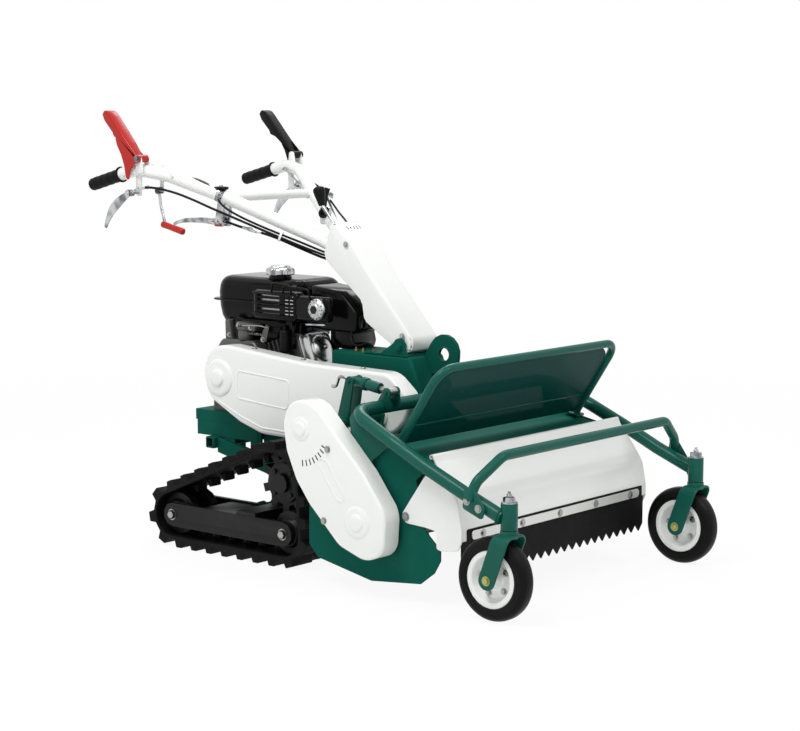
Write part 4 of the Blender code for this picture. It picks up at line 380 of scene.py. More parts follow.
def sheet_levels(low, high, soft=0.0006):
    """Levels of a flat plate from low to high whose edges are broken by soft."""
    return [(soft, low), (0, low + soft), (0, high - soft), (soft, high)]


def surface(name, grids):
    """One mesh of several grids, each closed round its columns, with its two ends closed by a face each
    unless it runs into itself; doubles are merged and every face turned outwards."""
    points, faces, start = [], [], 0
    for grid in grids:
        rows, columns = grid.shape[:2]
        index = np.arange(rows * columns).reshape(rows, columns) + start
        on = np.roll(index, -1, axis=1)
        faces += np.stack([index[:-1], on[:-1], on[1:], index[1:]], -1).reshape(-1, 4).tolist()
        if not np.allclose(grid[0], grid[-1]):
            faces += [row.tolist() for row, ring in ((index[0], grid[0]), (index[-1], grid[-1]))
                      if np.ptp(ring, axis=0).max() > 1e-6]
        points.append(grid.reshape(-1, 3) + DATUM)
        start += rows * columns
    mesh = bpy.data.meshes.new(name)
    mesh.from_pydata(np.concatenate(points).tolist(), [], faces)
    work = bmesh.new()
    work.from_mesh(mesh)
    bmesh.ops.remove_doubles(work, verts=work.verts, dist=1e-6)
    bmesh.ops.recalc_face_normals(work, faces=work.faces)
    work.to_mesh(mesh)
    work.free()
    return mesh


def made_of(name, grids, material, body, replaces=(), smooth=40):
    """A new piece from its grids."""
    return finished(name, surface(name, grids), material, body, replaces, smooth)


def plug(radius, low, high):
    """The profile of a plain round bar from low to high."""
    return [(0, low), (radius, low), (radius, high), (0, high)]


def bolt(place, axis, size, height):
    """A washer and a chamfered hexagon head, size being the half width over corners."""
    head = [(0, 0.001), (size, 0.001), (size, height * 0.82), (size * 0.86, height), (0, height)]
    return [turned(plug(size * 1.45, 0, 0.0012), place, axis, 20), turned(head, place, axis, 6)]


def weld(path, radius, upright=UP, closed=True):
    """A weld bead: a round run whose radius swells by a fifth with each ripple, 2.2 radii apart."""
    path = np.asarray(path, float)
    gone = np.concatenate([[0], np.cumsum(np.linalg.norm(np.diff(path, axis=0), axis=1))])
    swell = 1 + 0.2 * np.cos(gone * math.tau / (2.2 * radius))
    return carried(path, round_section(radius, 8)[None] * swell[:, None, None], upright, closed)


def side_plate(outline, sign, inner, outer, soft=0.0006):
    """A flat plate between two distances from the machine's middle, on the left where sign is 1."""
    return slab(outline, sheet_levels(*sorted((sign * inner, sign * outer)), soft))


# Side sheets run from the engine bed's rails down to the top of the receiver tube, clear of its socket.
web = [(-0.585, 0.2695), (-0.35, 0.2695), (-0.35, 0.33), (-0.585, 0.33)]
made_of("bed_side_sheets", [side_plate(web, sign, 0.0945, 0.0985) for sign in (-1, 1)], sheet_enamel, "chassis")

# A ring round the lifting eye, outside its bore, so that the eye stays as wide as it was cut.
eye_ring = [(0.0172, -0.0058), (0.02, -0.0058), (0.0212, -0.0046), (0.0212, 0.0046), (0.02, 0.0058),
            (0.0172, 0.0058), (0.0172, -0.0058)]
made_of("lifting_eye_ring", [turned(eye_ring, (0.228, 0, 0.548), ACROSS, 40)], green_enamel, "chassis")


# Gearbox and drive wheels
# Cast transmission case between the tracks, sprockets and idlers, all in black enamel over castings;
# each track arm has a bright bolt over either end of its idlers' axles.
black_enamel = enamel("black_enamel", shade(14, 14, 16), shade(38, 37, 35), 0.34, gloss=0.24)
dressed("gearbox", black_enamel, 0.002)


def plated(name, colour, scale, spread, least):
    """Bright metal, its roughness wandering by spread above least over patches 1 / scale long."""
    made = Finish(name, Base_Color=colour, Metallic=1.0)
    made.set(Roughness=made.noise(scale) * spread + least)
    return made.material


zinc = plated("zinc_plate", shade(168, 169, 166), 160.0, 0.22, 0.2)


def fixings(name, grids, body, material=zinc):
    """Small metal parts, such as bolts, together one piece."""
    made_of(name, grids, material, body, smooth=30)


SIDES = (("right", -1), ("left", 1))
IDLERS = ((-0.4592, 0.088), (-0.05, 0.088))
ARM_OUTSIDE, ARM_INSIDE = 0.3208, 0.1692
for side, sign in SIDES:
    for name in ("drive_sprocket_", "rear_idler_", "front_idler_", "track_frame_"):
        dressed(name + side, black_enamel, 0.001)
    bolts = []
    for x, z in IDLERS:
        bolts += bolt((x, sign * ARM_OUTSIDE, z), (0, sign, 0), 0.0105, 0.009)
        bolts += bolt((x, sign * ARM_INSIDE, z), (0, -sign, 0), 0.0085, 0.007)
    fixings("axle_bolts_" + side, bolts, "chassis")


# Rubber tracks
# Endless moulded rubber belts with staggered ground lugs and guide teeth, dull black with a paler,
# patchy bloom.
def moulded(name, colour, worn, scale, rough=0.62, distance=0.0003):
    """Rubber: a fine grain in the surface and a paler, patchy bloom."""
    made = Finish(name)
    bloom = made.noise(9.0, 5.0).over(0.58, 0.16)
    made.set(Base_Color=made.mixed(bloom * 0.6, colour, worn))
    made.set(Roughness=made.noise(40.0) * 0.16 + (rough - 0.08), Specular_IOR_Level=0.12)
    made.bump(made.noise(scale, 3.0), distance, 0.6)
    return made.material


track_rubber = moulded("track_rubber", shade(12, 12, 13), shade(28, 27, 26), 220.0)
for side in ("right", "left"):
    dressed("track_belt_" + side, track_rubber, 0.002)


# Belt covers
# Deep pressings over the two belt drives, sprayed white: a flat face with a rolled corner, domes over
# the shafts' ends, raised beads, and bolts through to the posts behind.
white_enamel = enamel("white_enamel", shade(236, 237, 234), shade(214, 212, 205), 0.17, 0.1, 0.5)
# A near-black finish: painted shade in the openings of holes, vents and slots, and the print of the column's
# figures.
painted_hole_shade_and_print = Finish("painted_hole_shade_and_print", Base_Color=shade(12, 12, 12), Roughness=0.8).material


def pressing(outline, back, face, corner, sheet=0.0015):
    """A cover open behind: an inner and an outer wall with rolled corners, inset c (1 - cos t) at
    face + c (1 - sin t), joined at the open rim."""
    t = np.linspace(0, math.pi / 2, 8)
    toward = math.copysign(1, back - face)
    small = corner - sheet
    outer = np.stack([corner * (1 - np.cos(t)), face + toward * corner * (1 - np.sin(t))], 1)
    inner = np.stack([sheet + small * (1 - np.cos(t)), face + toward * (sheet + small * (1 - np.sin(t)))], 1)
    return slab(outline, np.concatenate([inner[::-1], [(sheet, back), (0, back)], outer]))


def bead(line, radius, closed=False, y=0.0):
    """A low half-round rib pressed outwards along a line of the face at y."""
    path = np.stack([line[:, 0], np.full(len(line), y), line[:, 1]], 1)
    return carried(path, flat_section(radius, radius * 0.55, 2.0, 12)[0], ACROSS, closed)


LONG_CASE = [(-0.477, 0.389), (-0.361, 0.331), (-0.281, 0.307), (-0.188, 0.305), (0.06, 0.345), (0.105, 0.347),
             (0.185, 0.352), (0.23, 0.392), (0.24, 0.449), (0.18, 0.499), (0.156, 0.508), (-0.115, 0.513),
             (-0.406, 0.538), (-0.454, 0.533), (-0.482, 0.507), (-0.5, 0.456)]
FACE, CASE_BACK = -0.16, -0.108
CRANK = (-0.435, 0.447)
case_line = fillet(LONG_CASE, 0.07, 6, True)
dome = [(0, 0.014), (0.014, 0.0138), (0.021, 0.0122), (0.0245, 0.0078), (0.03, 0.0064), (0.043, 0.0056),
        (0.049, 0.003), (0.052, 0)]
panel_edge = fillet([(-0.366, 0.473), (-0.174, 0.46), (-0.181, 0.383), (-0.367, 0.397)], 0.012, 6, True)
lower_line = fillet([(-0.445, 0.385), (-0.352, 0.347), (-0.276, 0.324), (-0.188, 0.322), (0.04, 0.357)], 0.05, 6)
long_case = [
    pressing(case_line, CASE_BACK, FACE, 0.01),
    turned(fillet(dome, 0.003, 3), (CRANK[0], FACE, CRANK[1]), (0, -1, 0), 64),
    bead(panel_edge, 0.0028, True, FACE),
    bead(lower_line, 0.003, False, FACE),
    turned([(0.0185, 0.0), (0.03, 0.0), (0.03, 0.004), (0.026, 0.006), (0.0185, 0.006)], (0.141, FACE, 0.399),
           (0, -1, 0)),
]
made_of("belt_cover", long_case, white_enamel, "chassis", ["belt_case"])
cover_bolts = bolt((-0.072, FACE, 0.345), (0, -1, 0), 0.0062, 0.005)
for x, z in ((-0.33, 0.5315), (-0.15, 0.5162), (0.06, 0.5092)):
    cover_bolts += bolt((x, -0.128, z), (0.05, 0, 1), 0.0055, 0.004)
fixings("belt_cover_bolts", cover_bolts, "chassis")

DECK_CASE = [(0.09, 0.34), (0.122, 0.27), (0.165, 0.215), (0.262, 0.124), (0.345, 0.096), (0.405, 0.118),
             (0.412, 0.22), (0.34, 0.312), (0.19, 0.458), (0.15, 0.474), (0.1, 0.462), (0.078, 0.412)]
DECK_FACE, DECK_BACK = -0.455, -0.4
COUNTER, ROTOR = (0.141, 0.399), (0.323, 0.189)
small_dome = [(0, 0.0078), (0.011, 0.0077), (0.016, 0.0068), (0.0185, 0.0036), (0.025, 0.003), (0.031, 0)]
big_dome = [(0, 0.0078), (0.014, 0.0077), (0.019, 0.0068), (0.0215, 0.004), (0.034, 0.0034), (0.041, 0)]
finger = fillet([(0.196, 0.322), (0.206, 0.336), (0.226, 0.328), (0.284, 0.246), (0.274, 0.232), (0.257, 0.24)],
                0.012, 5, True)
deck_case = [
    pressing(fillet(DECK_CASE, 0.065, 8, True), DECK_BACK, DECK_FACE, 0.008),
    turned(fillet(small_dome, 0.003, 3), (COUNTER[0], DECK_FACE, COUNTER[1]), (0, -1, 0)),
    turned(fillet(big_dome, 0.003, 3), (ROTOR[0], DECK_FACE, ROTOR[1]), (0, -1, 0), 64),
    bead(finger, 0.0028, True, DECK_FACE),
]
made_of("deck_belt_cover", deck_case, white_enamel, "deck", ["deck_case"])
cover_bolts = []
for x, z in ((0.229, 0.358), (0.216, 0.18)):
    cover_bolts += bolt((x, DECK_FACE, z), (0, -1, 0), 0.0062, 0.005)
fixings("deck_cover_bolts", cover_bolts, "deck")


def spoke(angle):
    """The unit vector at an angle, and the one a quarter turn on from it."""
    out = np.array([math.cos(angle), math.sin(angle)])
    return out, np.array([-out[1], out[0]])


# Eight short vents in the deck's cover, on an arc about the countershaft.
# Each vent is a thin near-black plate on the face: painted shade for its opening.
vents = []
for k in range(8):
    along, square = spoke(math.radians(-86 + k * 8.6))
    middle = np.array(COUNTER) + along * 0.084
    corners = [middle + along * a * 0.0075 + square * b * 0.0016 for a, b in ((-1, -1), (1, -1), (1, 1), (-1, 1))]
    vents.append(slab(corners, sheet_levels(DECK_FACE - 0.0006, DECK_FACE + 0.001, 0.0003)))
made_of("deck_cover_vents", vents, painted_hole_shade_and_print, "deck")


# Engine
# A small single cylinder engine with an inclined cylinder: cast alloy block, gloss black tank with a
# seam flange, slotted muffler guard with a bright deflector, moulded air cleaner and recoil starter.
cast = Finish("cast_alloy", Metallic=0.6)
cast.set(Base_Color=cast.mixed(cast.noise(60.0).over(0.55, 0.3), shade(98, 98, 97), shade(84, 83, 81)))
cast.set(Roughness=cast.noise(140.0) * 0.1 + 0.44)
cast.bump(cast.noise(380.0, 3.0), 0.0002, 0.7)
cast = cast.material
chrome = Finish("bright_chrome", Metallic=1.0)
# The chrome's colour swings between light and dark patches: a painted reflection of surroundings.
painted_reflection_patches = chrome.noise(34.0, 1.0).over(0.54, 0.16)
chrome.set(Base_Color=chrome.mixed(painted_reflection_patches, shade(200, 201, 203), shade(112, 114, 118)))
chrome.set(Roughness=chrome.noise(60.0) * 0.1 + 0.06)
chrome = chrome.material
satin = plated("satin_silver", shade(196, 197, 197), 70.0, 0.1, 0.24)
gloss_black = enamel("gloss_black", shade(9, 9, 10), shade(20, 20, 20), 0.14, 0.3, 0.12)
dressed("engine_block", cast, 0.001)
dressed("muffler_guard", gloss_black, 0.002, 50)
dressed("air_cleaner", gloss_black, 0.002, 50)

TANK_PLACE, TANK_HALF_X, TANK_HALF_Y, SEAM_REACH = (-0.4, 0.047, 0), 0.165, 0.1025, 0.008
CAP_PLACE = (-0.35, -0.003, 0)


def rounded_plan(half_x, half_y, radius, steps=10):
    """A rectangle in plan with rounded corners."""
    corners = [(-half_x, -half_y), (half_x, -half_y), (half_x, half_y), (-half_x, half_y)]
    return fillet(corners, radius, steps, True)


def fluted(a):
    """Eight shallow flutes round the cap."""
    return 1 - 0.045 * np.clip(np.cos(8 * a) * 2.2, 0, 1)


upward = {"u": (1, 0, 0), "v": ACROSS, "w": UP}
tank_levels = [(0.04, 0.574), (0.028, 0.576), (0.018, 0.585), (0.008, 0.604), (0.003, 0.628), (0.001, 0.65),
               (0, 0.668), (0.003, 0.69), (0.009, 0.703), (0.02, 0.712), (0.034, 0.7155), (0.046, 0.716)]
seam = rounded_plan(TANK_HALF_X + SEAM_REACH, TANK_HALF_Y + SEAM_REACH, 0.04)
neck = [(0.03, 0.712), (0.032, 0.7165), (0.03, 0.7235), (0.026, 0.7235)]
tank = [
    slab(rounded_plan(TANK_HALF_X, TANK_HALF_Y, 0.052), fillet(tank_levels, 0.02, 4), TANK_PLACE, **upward),
    slab(seam, sheet_levels(0.6475, 0.652, 0.001), TANK_PLACE, **upward),
    turned(neck, CAP_PLACE, UP),
]
made_of("tank", tank, gloss_black, "chassis", ["fuel_tank"], 50)
cap_profile = [(0, 0.7243), (0.0385, 0.7243), (0.0398, 0.727), (0.0398, 0.738), (0.0375, 0.742), (0.031, 0.744),
               (0.028, 0.7445), (0.026, 0.749), (0.022, 0.7503), (0.014, 0.7496), (0, 0.7496)]
cap = [turned(fillet(cap_profile, 0.0015, 3), CAP_PLACE, UP, 128, fluted)]
made_of("tank_cap", cap, chrome, "filler_cap", ["fuel_cap"], 45)

# The deflector: a domed disc with two rings of holes round a hexagonal socket.
OUTLET = (-0.12, -0.1048, 0.65)
deflector = [(0, 0), (0.0286, 0), (0.0286, 0.005), (0.0272, 0.0092), (0.022, 0.013), (0.016, 0.0155),
             (0.0145, 0.017), (0.0138, 0.0168), (0, 0.0168)]
made_of("outlet_dome", [turned(fillet(deflector, 0.002, 3), OUTLET, (0, -1, 0), 64)], satin, "chassis",
        ["exhaust_outlet"])
# The holes and the hexagonal socket are near-black plugs: painted shade for their hollows.
holes = [turned([(0.0122, 0.0164), (0.0122, 0.0174), (0, 0.0174)], OUTLET, (0, -1, 0), 6)]
for count, ring, height, small in ((14, 0.0248, 0.0112, 0.0018), (8, 0.019, 0.0142, 0.0012)):
    for k in range(count):
        out, _ = spoke(math.tau * k / count)
        foot = np.add(OUTLET, (ring * out[0], -height, ring * out[1]))
        holes.append(turned(plug(small, -0.002, 0.0012), foot, (0.55 * out[0], -1, 0.55 * out[1]), 10))
made_of("outlet_holes", holes, painted_hole_shade_and_print, "chassis")

# Wire guard over the muffler: bent rods with their ends tucked into the pressed guard.
wire = round_section(0.0026, 10)
wires = []
for z in (0.683, 0.655, 0.627):
    rod = [(-0.356, -0.098, z), (-0.356, -0.1085, z), (-0.212, -0.1085, z - 0.004), (-0.212, -0.098, z - 0.004)]
    wires.append(carried(fillet(rod, 0.006, 5), wire))
for x0, x1, top in ((-0.292, -0.215, 0.712), (-0.25, -0.15, 0.706)):
    rod = [(x0, -0.1, 0.68), (x0 + 0.006, -0.104, top), (x1 - 0.006, -0.104, top - 0.006), (x1, -0.1, 0.672)]
    wires.append(carried(fillet(rod, 0.01, 6), wire, ACROSS))
made_of("wire_guard", wires, gloss_black, "chassis", smooth=180)
core = slab([(-0.345, 0.62), (-0.256, 0.62), (-0.256, 0.682), (-0.345, 0.682)], sheet_levels(-0.0935, -0.0915))
made_of("muffler_core", [core], zinc, "chassis")
louvres = []
for x in (-0.2315, -0.214):
    for row in range(6):
        z = 0.676 - row * 0.0096
        lip = [(x - 0.0056, z), (x + 0.0056, z), (x + 0.0056, z + 0.003), (x - 0.0056, z + 0.003)]
        louvres.append(slab(lip, sheet_levels(-0.1056, -0.103, 0.0005)))
fixings("muffler_louvres", louvres, "chassis", satin)
trim_bar = slab(fillet([(-0.168, 0.604), (-0.1, 0.607), (-0.1, 0.612), (-0.168, 0.609)], 0.0015, 3, True),
                sheet_levels(-0.101, -0.094))
made_of("muffler_trim", [trim_bar], chrome, "chassis")

# The rocker cover leans with the cylinder: its axis is raised 20 degrees from the front.
TILT = math.radians(20)
CYLINDER_AXIS = np.array([math.cos(TILT), 0, math.sin(TILT)])
CYLINDER_UP = np.array([-math.sin(TILT), 0, math.cos(TILT)])
head_foot = np.array([CRANK[0], 0, CRANK[1]]) + CYLINDER_AXIS * 0.2253
cover_levels = [(0, 0), (0, 0.012), (0.0015, 0.018), (0.006, 0.0235), (0.013, 0.026), (0.02, 0.0265)]
crown = [(0, 0.046), (0.0055, 0.046), (0.0065, 0.045), (0.0065, 0.0405), (0.012, 0.0395), (0.024, 0.0365),
         (0.035, 0.0305), (0.041, 0.0235), (0.042, 0.018)]
leaning = {"origin": head_foot, "u": ACROSS, "v": CYLINDER_UP, "w": CYLINDER_AXIS}
rocker = [
    slab(rounded_plan(0.05, 0.05, 0.022), fillet(cover_levels, 0.006, 3), **leaning),
    turned(fillet(crown, 0.004, 4), head_foot, CYLINDER_AXIS, 64),
    slab(rounded_plan(0.054, 0.054, 0.02), sheet_levels(-0.0002, 0.003), **leaning),
]
made_of("rocker_cover", rocker, satin, "chassis", ["head_cover"], 50)

# Recoil starter: a dished fan housing with slots round its face and a pull grip on its shoulder.
starter = [(0, 0.09), (0.026, 0.09), (0.03, 0.087), (0.046, 0.086), (0.052, 0.083), (0.078, 0.078), (0.088, 0.071),
           (0.0935, 0.06), (0.0965, 0.03), (0.097, 0), (0, 0)]
hub_place = (CRANK[0], 0.0853, CRANK[1])
chute = fillet([(-0.455, 0.477), (-0.33, 0.477), (-0.33, 0.537), (-0.455, 0.537)], 0.014, 5, True)
housing = [
    turned(fillet(starter, 0.006, 4), hub_place, ACROSS, 72),
    slab(chute, [(0.012, 0.1475), (0.004, 0.145), (0, 0.138), (0, 0.086)]),
]
made_of("starter_housing", housing, gloss_black, "chassis", ["recoil_starter"], 50)
# The slots are thin near-black plates on the face: painted shade for their openings.
slots = []
for k in range(18):
    out, square = spoke(math.tau * k / 18)
    corners = [np.array(CRANK) + out * r + square * s * (0.0012 + r * 0.035)
               for r, s in ((0.056, -1), (0.074, -1), (0.074, 1), (0.056, 1))]
    slots.append(slab(corners, [(0, 0.16), (0, 0.1658), (0.0003, 0.1662)]))
made_of("starter_slots", slots, painted_hole_shade_and_print, "chassis")
pull = [carried(fillet([(-0.322, 0.104, 0.5105), (-0.322, 0.128, 0.5105)], 0, 2), flat_section(0.014, 0.008)[0]),
        carried(fillet([(-0.337, 0.116, 0.5105), (-0.32, 0.116, 0.5105)], 0, 2), round_section(0.004))]
made_of("starter_grip", pull, gloss_black, "chassis", smooth=50)

# Cooling shroud: black pressed sheet round the cylinder, between the crankcase and the tank, and the
# heat shield from the cylinder forward to the beam.
shroud_side = fillet([(-0.505, 0.52), (-0.34, 0.53), (-0.236, 0.56), (-0.236, 0.602), (-0.5, 0.602)],
                     0.01, 4, True)
shield_side = fillet([(-0.14, 0.6), (-0.134, 0.556), (-0.118, 0.5415), (-0.062, 0.5415), (-0.056, 0.56),
                      (-0.066, 0.6)], 0.008, 4, True)
shroud = [slab(shroud_side, [(0.006, -0.046), (0.0015, -0.044), (0, -0.04), (0, 0.072), (0.004, 0.076)]),
          slab(shield_side, [(0.004, -0.034), (0, -0.031), (0, 0.058), (0.004, 0.062)])]
made_of("cooling_shroud", shroud, gloss_black, "chassis", smooth=50)

# Carburettor, governor and fuel tap under the tank, on the side of the long case.
SIDE = -0.072
carburettor = [
    turned(fillet([(0, 0.542), (0.013, 0.542), (0.019, 0.546), (0.021, 0.556), (0.021, 0.572), (0.024, 0.575),
                   (0.024, 0.582), (0, 0.582)], 0.002, 3), (-0.418, SIDE, 0), UP),
    slab(fillet([(-0.445, 0.576), (-0.372, 0.57), (-0.366, 0.59), (-0.44, 0.596)], 0.006, 4, True),
         sheet_levels(SIDE - 0.016, SIDE + 0.02, 0.003)),
    slab(fillet([(-0.352, 0.545), (-0.33, 0.545), (-0.318, 0.59), (-0.33, 0.594), (-0.345, 0.57)], 0.003, 4, True),
         sheet_levels(SIDE - 0.012, SIDE - 0.009)),
    slab(fillet([(-0.488, 0.54), (-0.462, 0.54), (-0.474, 0.596), (-0.49, 0.596)], 0.004, 4, True),
         sheet_levels(SIDE - 0.008, SIDE + 0.012, 0.001)),
]
made_of("carburettor", carburettor, cast, "chassis", smooth=50)
s = np.linspace(0, 1, 90)
coils = 0.0035 * np.stack([np.cos(s * 60), np.sin(s * 60)], 1)
spring = np.stack([-0.4 + s * 0.07, SIDE - 0.014 + coils[:, 0], 0.566 + coils[:, 1]], 1)
rod = [(-0.412, SIDE - 0.02, 0.586), (-0.35, SIDE - 0.02, 0.59), (-0.325, SIDE - 0.011, 0.586)]
linkage = [carried(spring, round_section(0.0008, 6)), carried(fillet(rod, 0.01), round_section(0.0016, 10))]
for x, out, z in ((-0.43, 0.016, 0.586), (-0.384, 0.016, 0.582), (-0.341, 0.012, 0.552), (-0.474, 0.008, 0.556)):
    linkage += bolt((x, SIDE - out, z), (0, -1, 0), 0.005, 0.0055)
made_of("governor_linkage", linkage, zinc, "chassis", smooth=40)
canister = fillet([(0, 0.522), (0.013, 0.522), (0.0145, 0.525), (0.0145, 0.578), (0.012, 0.584), (0.006, 0.586),
                   (0.006, 0.596), (0, 0.596)], 0.002, 3)
soft_black = moulded("soft_black", shade(11, 11, 12), shade(20, 20, 20), 300.0, 0.42, 0.0001)
made_of("fuel_filter", [turned(canister, (-0.262, -0.08, 0), UP)], soft_black, "chassis")
brass = plated("brass", shade(146, 120, 76), 90.0, 0.2, 0.2)
nipple = [(0, 0.5405), (0.006, 0.5405), (0.006, 0.547), (0.003, 0.548), (0.003, 0.552), (0, 0.552)]
fittings = [turned(nipple, (x, y, 0), UP, 6) for x, y in ((-0.034, -0.048), (-0.006, -0.052), (0.024, -0.046))]
fixings("brass_fittings", fittings, "chassis", brass)


def evenly(line, count):
    """The same line with its points at equal lengths along it."""
    gone = np.concatenate([[0], np.cumsum(np.linalg.norm(np.diff(line, axis=0), axis=1))])
    even = np.linspace(0, gone[-1], count)
    return np.stack([np.interp(even, gone, line[:, i]) for i in range(3)], 1)


def smooth_run(through, count=31):
    """A line through the given points: a Catmull-Rom curve between each pair, at equal lengths."""
    p = np.asarray(through, float)
    p = np.concatenate([[2 * p[0] - p[1]], p, [2 * p[-1] - p[-2]]])
    s = np.linspace(0, 1, 25)[None, :-1, None]
    a, b, c, d = (p[i : len(p) - 3 + i, None] for i in range(4))
    curve = 0.5 * (2 * b + (c - a) * s + (2 * a - 5 * b + 4 * c - d) * s**2 + (3 * b - a - 3 * c + d) * s**3)
    return evenly(np.concatenate([curve.reshape(-1, 3), p[-2:-1]]), count)


cable_black = moulded("cable_black", shade(17, 17, 18), shade(28, 28, 28), 500.0, 0.42, 0.00004)


def cable(name, through, diameter, body):
    """A cable with both its ends on the machine, along a smooth run through the given places."""
    line = smooth_run(through)
    made = made_of(name, [carried(line, round_section(diameter / 2, 14), ACROSS)], cable_black, body,
                   smooth=180)


lead_run = [(-0.06, -0.036, 0.592), (-0.058, -0.042, 0.574), (-0.046, -0.047, 0.56), (-0.03, -0.049, 0.556),
            (-0.012, -0.05, 0.56), (0.004, -0.049, 0.566), (0.018, -0.047, 0.562), (0.024, -0.046, 0.552)]
cable("engine_lead", lead_run, 0.005, "chassis")


# Handle column
# A folded white cover round the post, hinged at its foot on a bolt through the bracket's ears, with
# screws in its sides and a row of small numbers at its top for the notches of the shift rod.
dressed("column_cover", white_enamel, 0.003, 60)
column_screws = []
for x, z in ((-0.062, 0.822), (0.132, 0.593)):
    for sign in (-1, 1):
        column_screws += bolt((x, sign * 0.0575, z), (0, sign, 0), 0.0055, 0.0035)
fixings("column_screws", column_screws, "handle")

SLOPE_TOP, SLOPE_FOOT = np.array([-0.106, 0, 0.882]), np.array([-0.04, 0, 0.826])
slope_up = unit(SLOPE_TOP - SLOPE_FOOT)
slope_out = np.cross(np.array([0, 1.0, 0]), slope_up)
slope_out *= math.copysign(1, slope_out[2])
figures = bpy.data.curves.new("figures", "FONT")
figures.body, figures.size, figures.align_x, figures.extrude = "5 4 3 2 1", 0.016, "CENTER", 0.0002
figure_object = bpy.data.objects.new("figures", figures)
bpy.context.scene.collection.objects.link(figure_object)
bpy.context.view_layer.update()
figure_mesh = bpy.data.meshes.new_from_object(figure_object)
bpy.data.objects.remove(figure_object)
flat = np.empty(len(figure_mesh.vertices) * 3)
figure_mesh.vertices.foreach_get("co", flat)
flat = flat.reshape(-1, 3)
seat = SLOPE_TOP - slope_up * 0.034 + slope_out * 0.0006 + DATUM
laid = seat + flat[:, :1] * np.array([0, 1.0, 0]) + flat[:, 1:2] * slope_up + flat[:, 2:] * slope_out
figure_mesh.vertices.foreach_set("co", laid.ravel())
figure_mesh.update()
finished("column_figures", figure_mesh, painted_hole_shade_and_print, "handle")


# Handlebars
# Two white tubes bent out of the column, the crossbar between them, the bars that carry the grips, and
# the welded cheeks and hangers that the levers turn on.
GRIP_Y, BAR_Y = 0.3, 0.174
LEVER, SIDE_PIVOT, KNIFE_PIVOT = (-0.574, 1.044), (-0.591, 0.952), (-0.41, 0.874)
KNIFE_Y = -BAR_Y + 0.004
KNOB_PLACE = (-0.4, -0.18, 0)


def plate_at(outline, middle, half, soft=0.0006):
    """A flat plate square to the machine's width, half on either side of middle."""
    return slab(outline, sheet_levels(middle - half, middle + half, soft))


bars = []
for sign in (-1, 1):
    grip = sign * GRIP_Y
    corners = [(-0.05, sign * 0.034, 0.777), (-0.15, sign * 0.034, 0.823), (-0.387, sign * BAR_Y, 0.94),
               (-0.52, sign * 0.262, 0.999), (-0.6, grip, 1.015), (-0.66, grip, 0.9995)]
    bars.append(carried(fillet(corners, 0.12, 12), round_section(0.0175, 32)))
    bars.append(carried([(-0.648, grip, 1.0026), (-0.77, grip, 0.9711)], round_section(0.0145, 28)))
    cheek = fillet([(-0.588, 1.004), (-0.556, 1.004), (-0.565, 1.053), (-0.583, 1.053)], 0.008, 4, True)
    bars += [plate_at(cheek, grip + t * 0.015, 0.0015, 0.0005) for t in (-1, 1)]
    hanger = fillet([(-0.6, 0.943), (-0.582, 0.943), (-0.58, 1.01), (-0.602, 1.006)], 0.006, 4, True)
    bars.append(plate_at(hanger, grip, 0.003, 0.001))
bars.append(carried([(-0.392, -0.182, 0.941), (-0.392, 0.182, 0.941)], round_section(0.0125, 28)))
brace = [(0.112, 0.575), (0.14, 0.5745), (-0.04, 0.795), (-0.066, 0.775)]
bars.append(plate_at(fillet(brace, 0.004, 3, True), 0, 0.022))
block = [(-0.126, 0.762), (-0.035, 0.762), (-0.035, 0.796), (-0.126, 0.796)]
bars.append(plate_at(fillet(block, 0.006, 3, True), 0, 0.046, 0.003))
tab = [(-0.553, 0.949), (-0.537, 0.949), (-0.539, 1.0), (-0.551, 1.0)]
bars.append(slab(fillet(tab, 0.004, 3, True), sheet_levels(-0.261, -0.257)))
gusset = [(-0.606, 1.012), (-0.566, 1.032), (-0.522, 1.034), (-0.5, 1.018), (-0.486, 0.99), (-0.53, 0.99)]
bars.append(slab(fillet(gusset, 0.014, 5, True), sheet_levels(-0.27, -0.2665)))
for sign in (-1, 1):
    seam = turned([(0.013, 0)], (-0.392, sign * (BAR_Y - 0.006) * 0.925, 0.941), ACROSS, 60)[0]
    bars.append(weld(seam, 0.0018, ACROSS))
made_of("handle_tubes", bars, white_enamel, "handle", ["handlebar"], 50)

ear = fillet([(-0.422, 0.862), (-0.39, 0.862), (-0.38, 0.944), (-0.404, 0.944)], 0.005, 4, True)
clamps = [plate_at(ear, KNIFE_Y + t * 0.0135, 0.003, 0.0008) for t in (-1, 1)]
clamps += bolt((KNIFE_PIVOT[0], KNIFE_Y - 0.0165, KNIFE_PIVOT[1]), (0, -1, 0), 0.006, 0.0055)
band = [(0.0176, -0.009), (0.0196, -0.009), (0.0202, 0), (0.0196, 0.009), (0.0176, 0.009), (0.0176, -0.009)]
clamps.append(turned(band, (-0.4, -0.1817, 0.946), (-0.79, -0.47, 0.39)))
clamps += bolt((-0.391, -0.196, 0.95), (-0.3, -0.9, 0.3), 0.006, 0.008)
throttle_clamp = fillet([(-0.28, 0.862), (-0.244, 0.862), (-0.244, 0.91), (-0.28, 0.91)], 0.006, 4, True)
clamps.append(slab(throttle_clamp, sheet_levels(0.0815, 0.091, 0.001)))
adjuster = [(0, 0), (0.0045, 0), (0.0045, 0.01), (0.006, 0.01), (0.006, 0.016), (0.0036, 0.017), (0.0036, 0.032),
            (0.0046, 0.033), (0.0046, 0.044), (0, 0.045)]
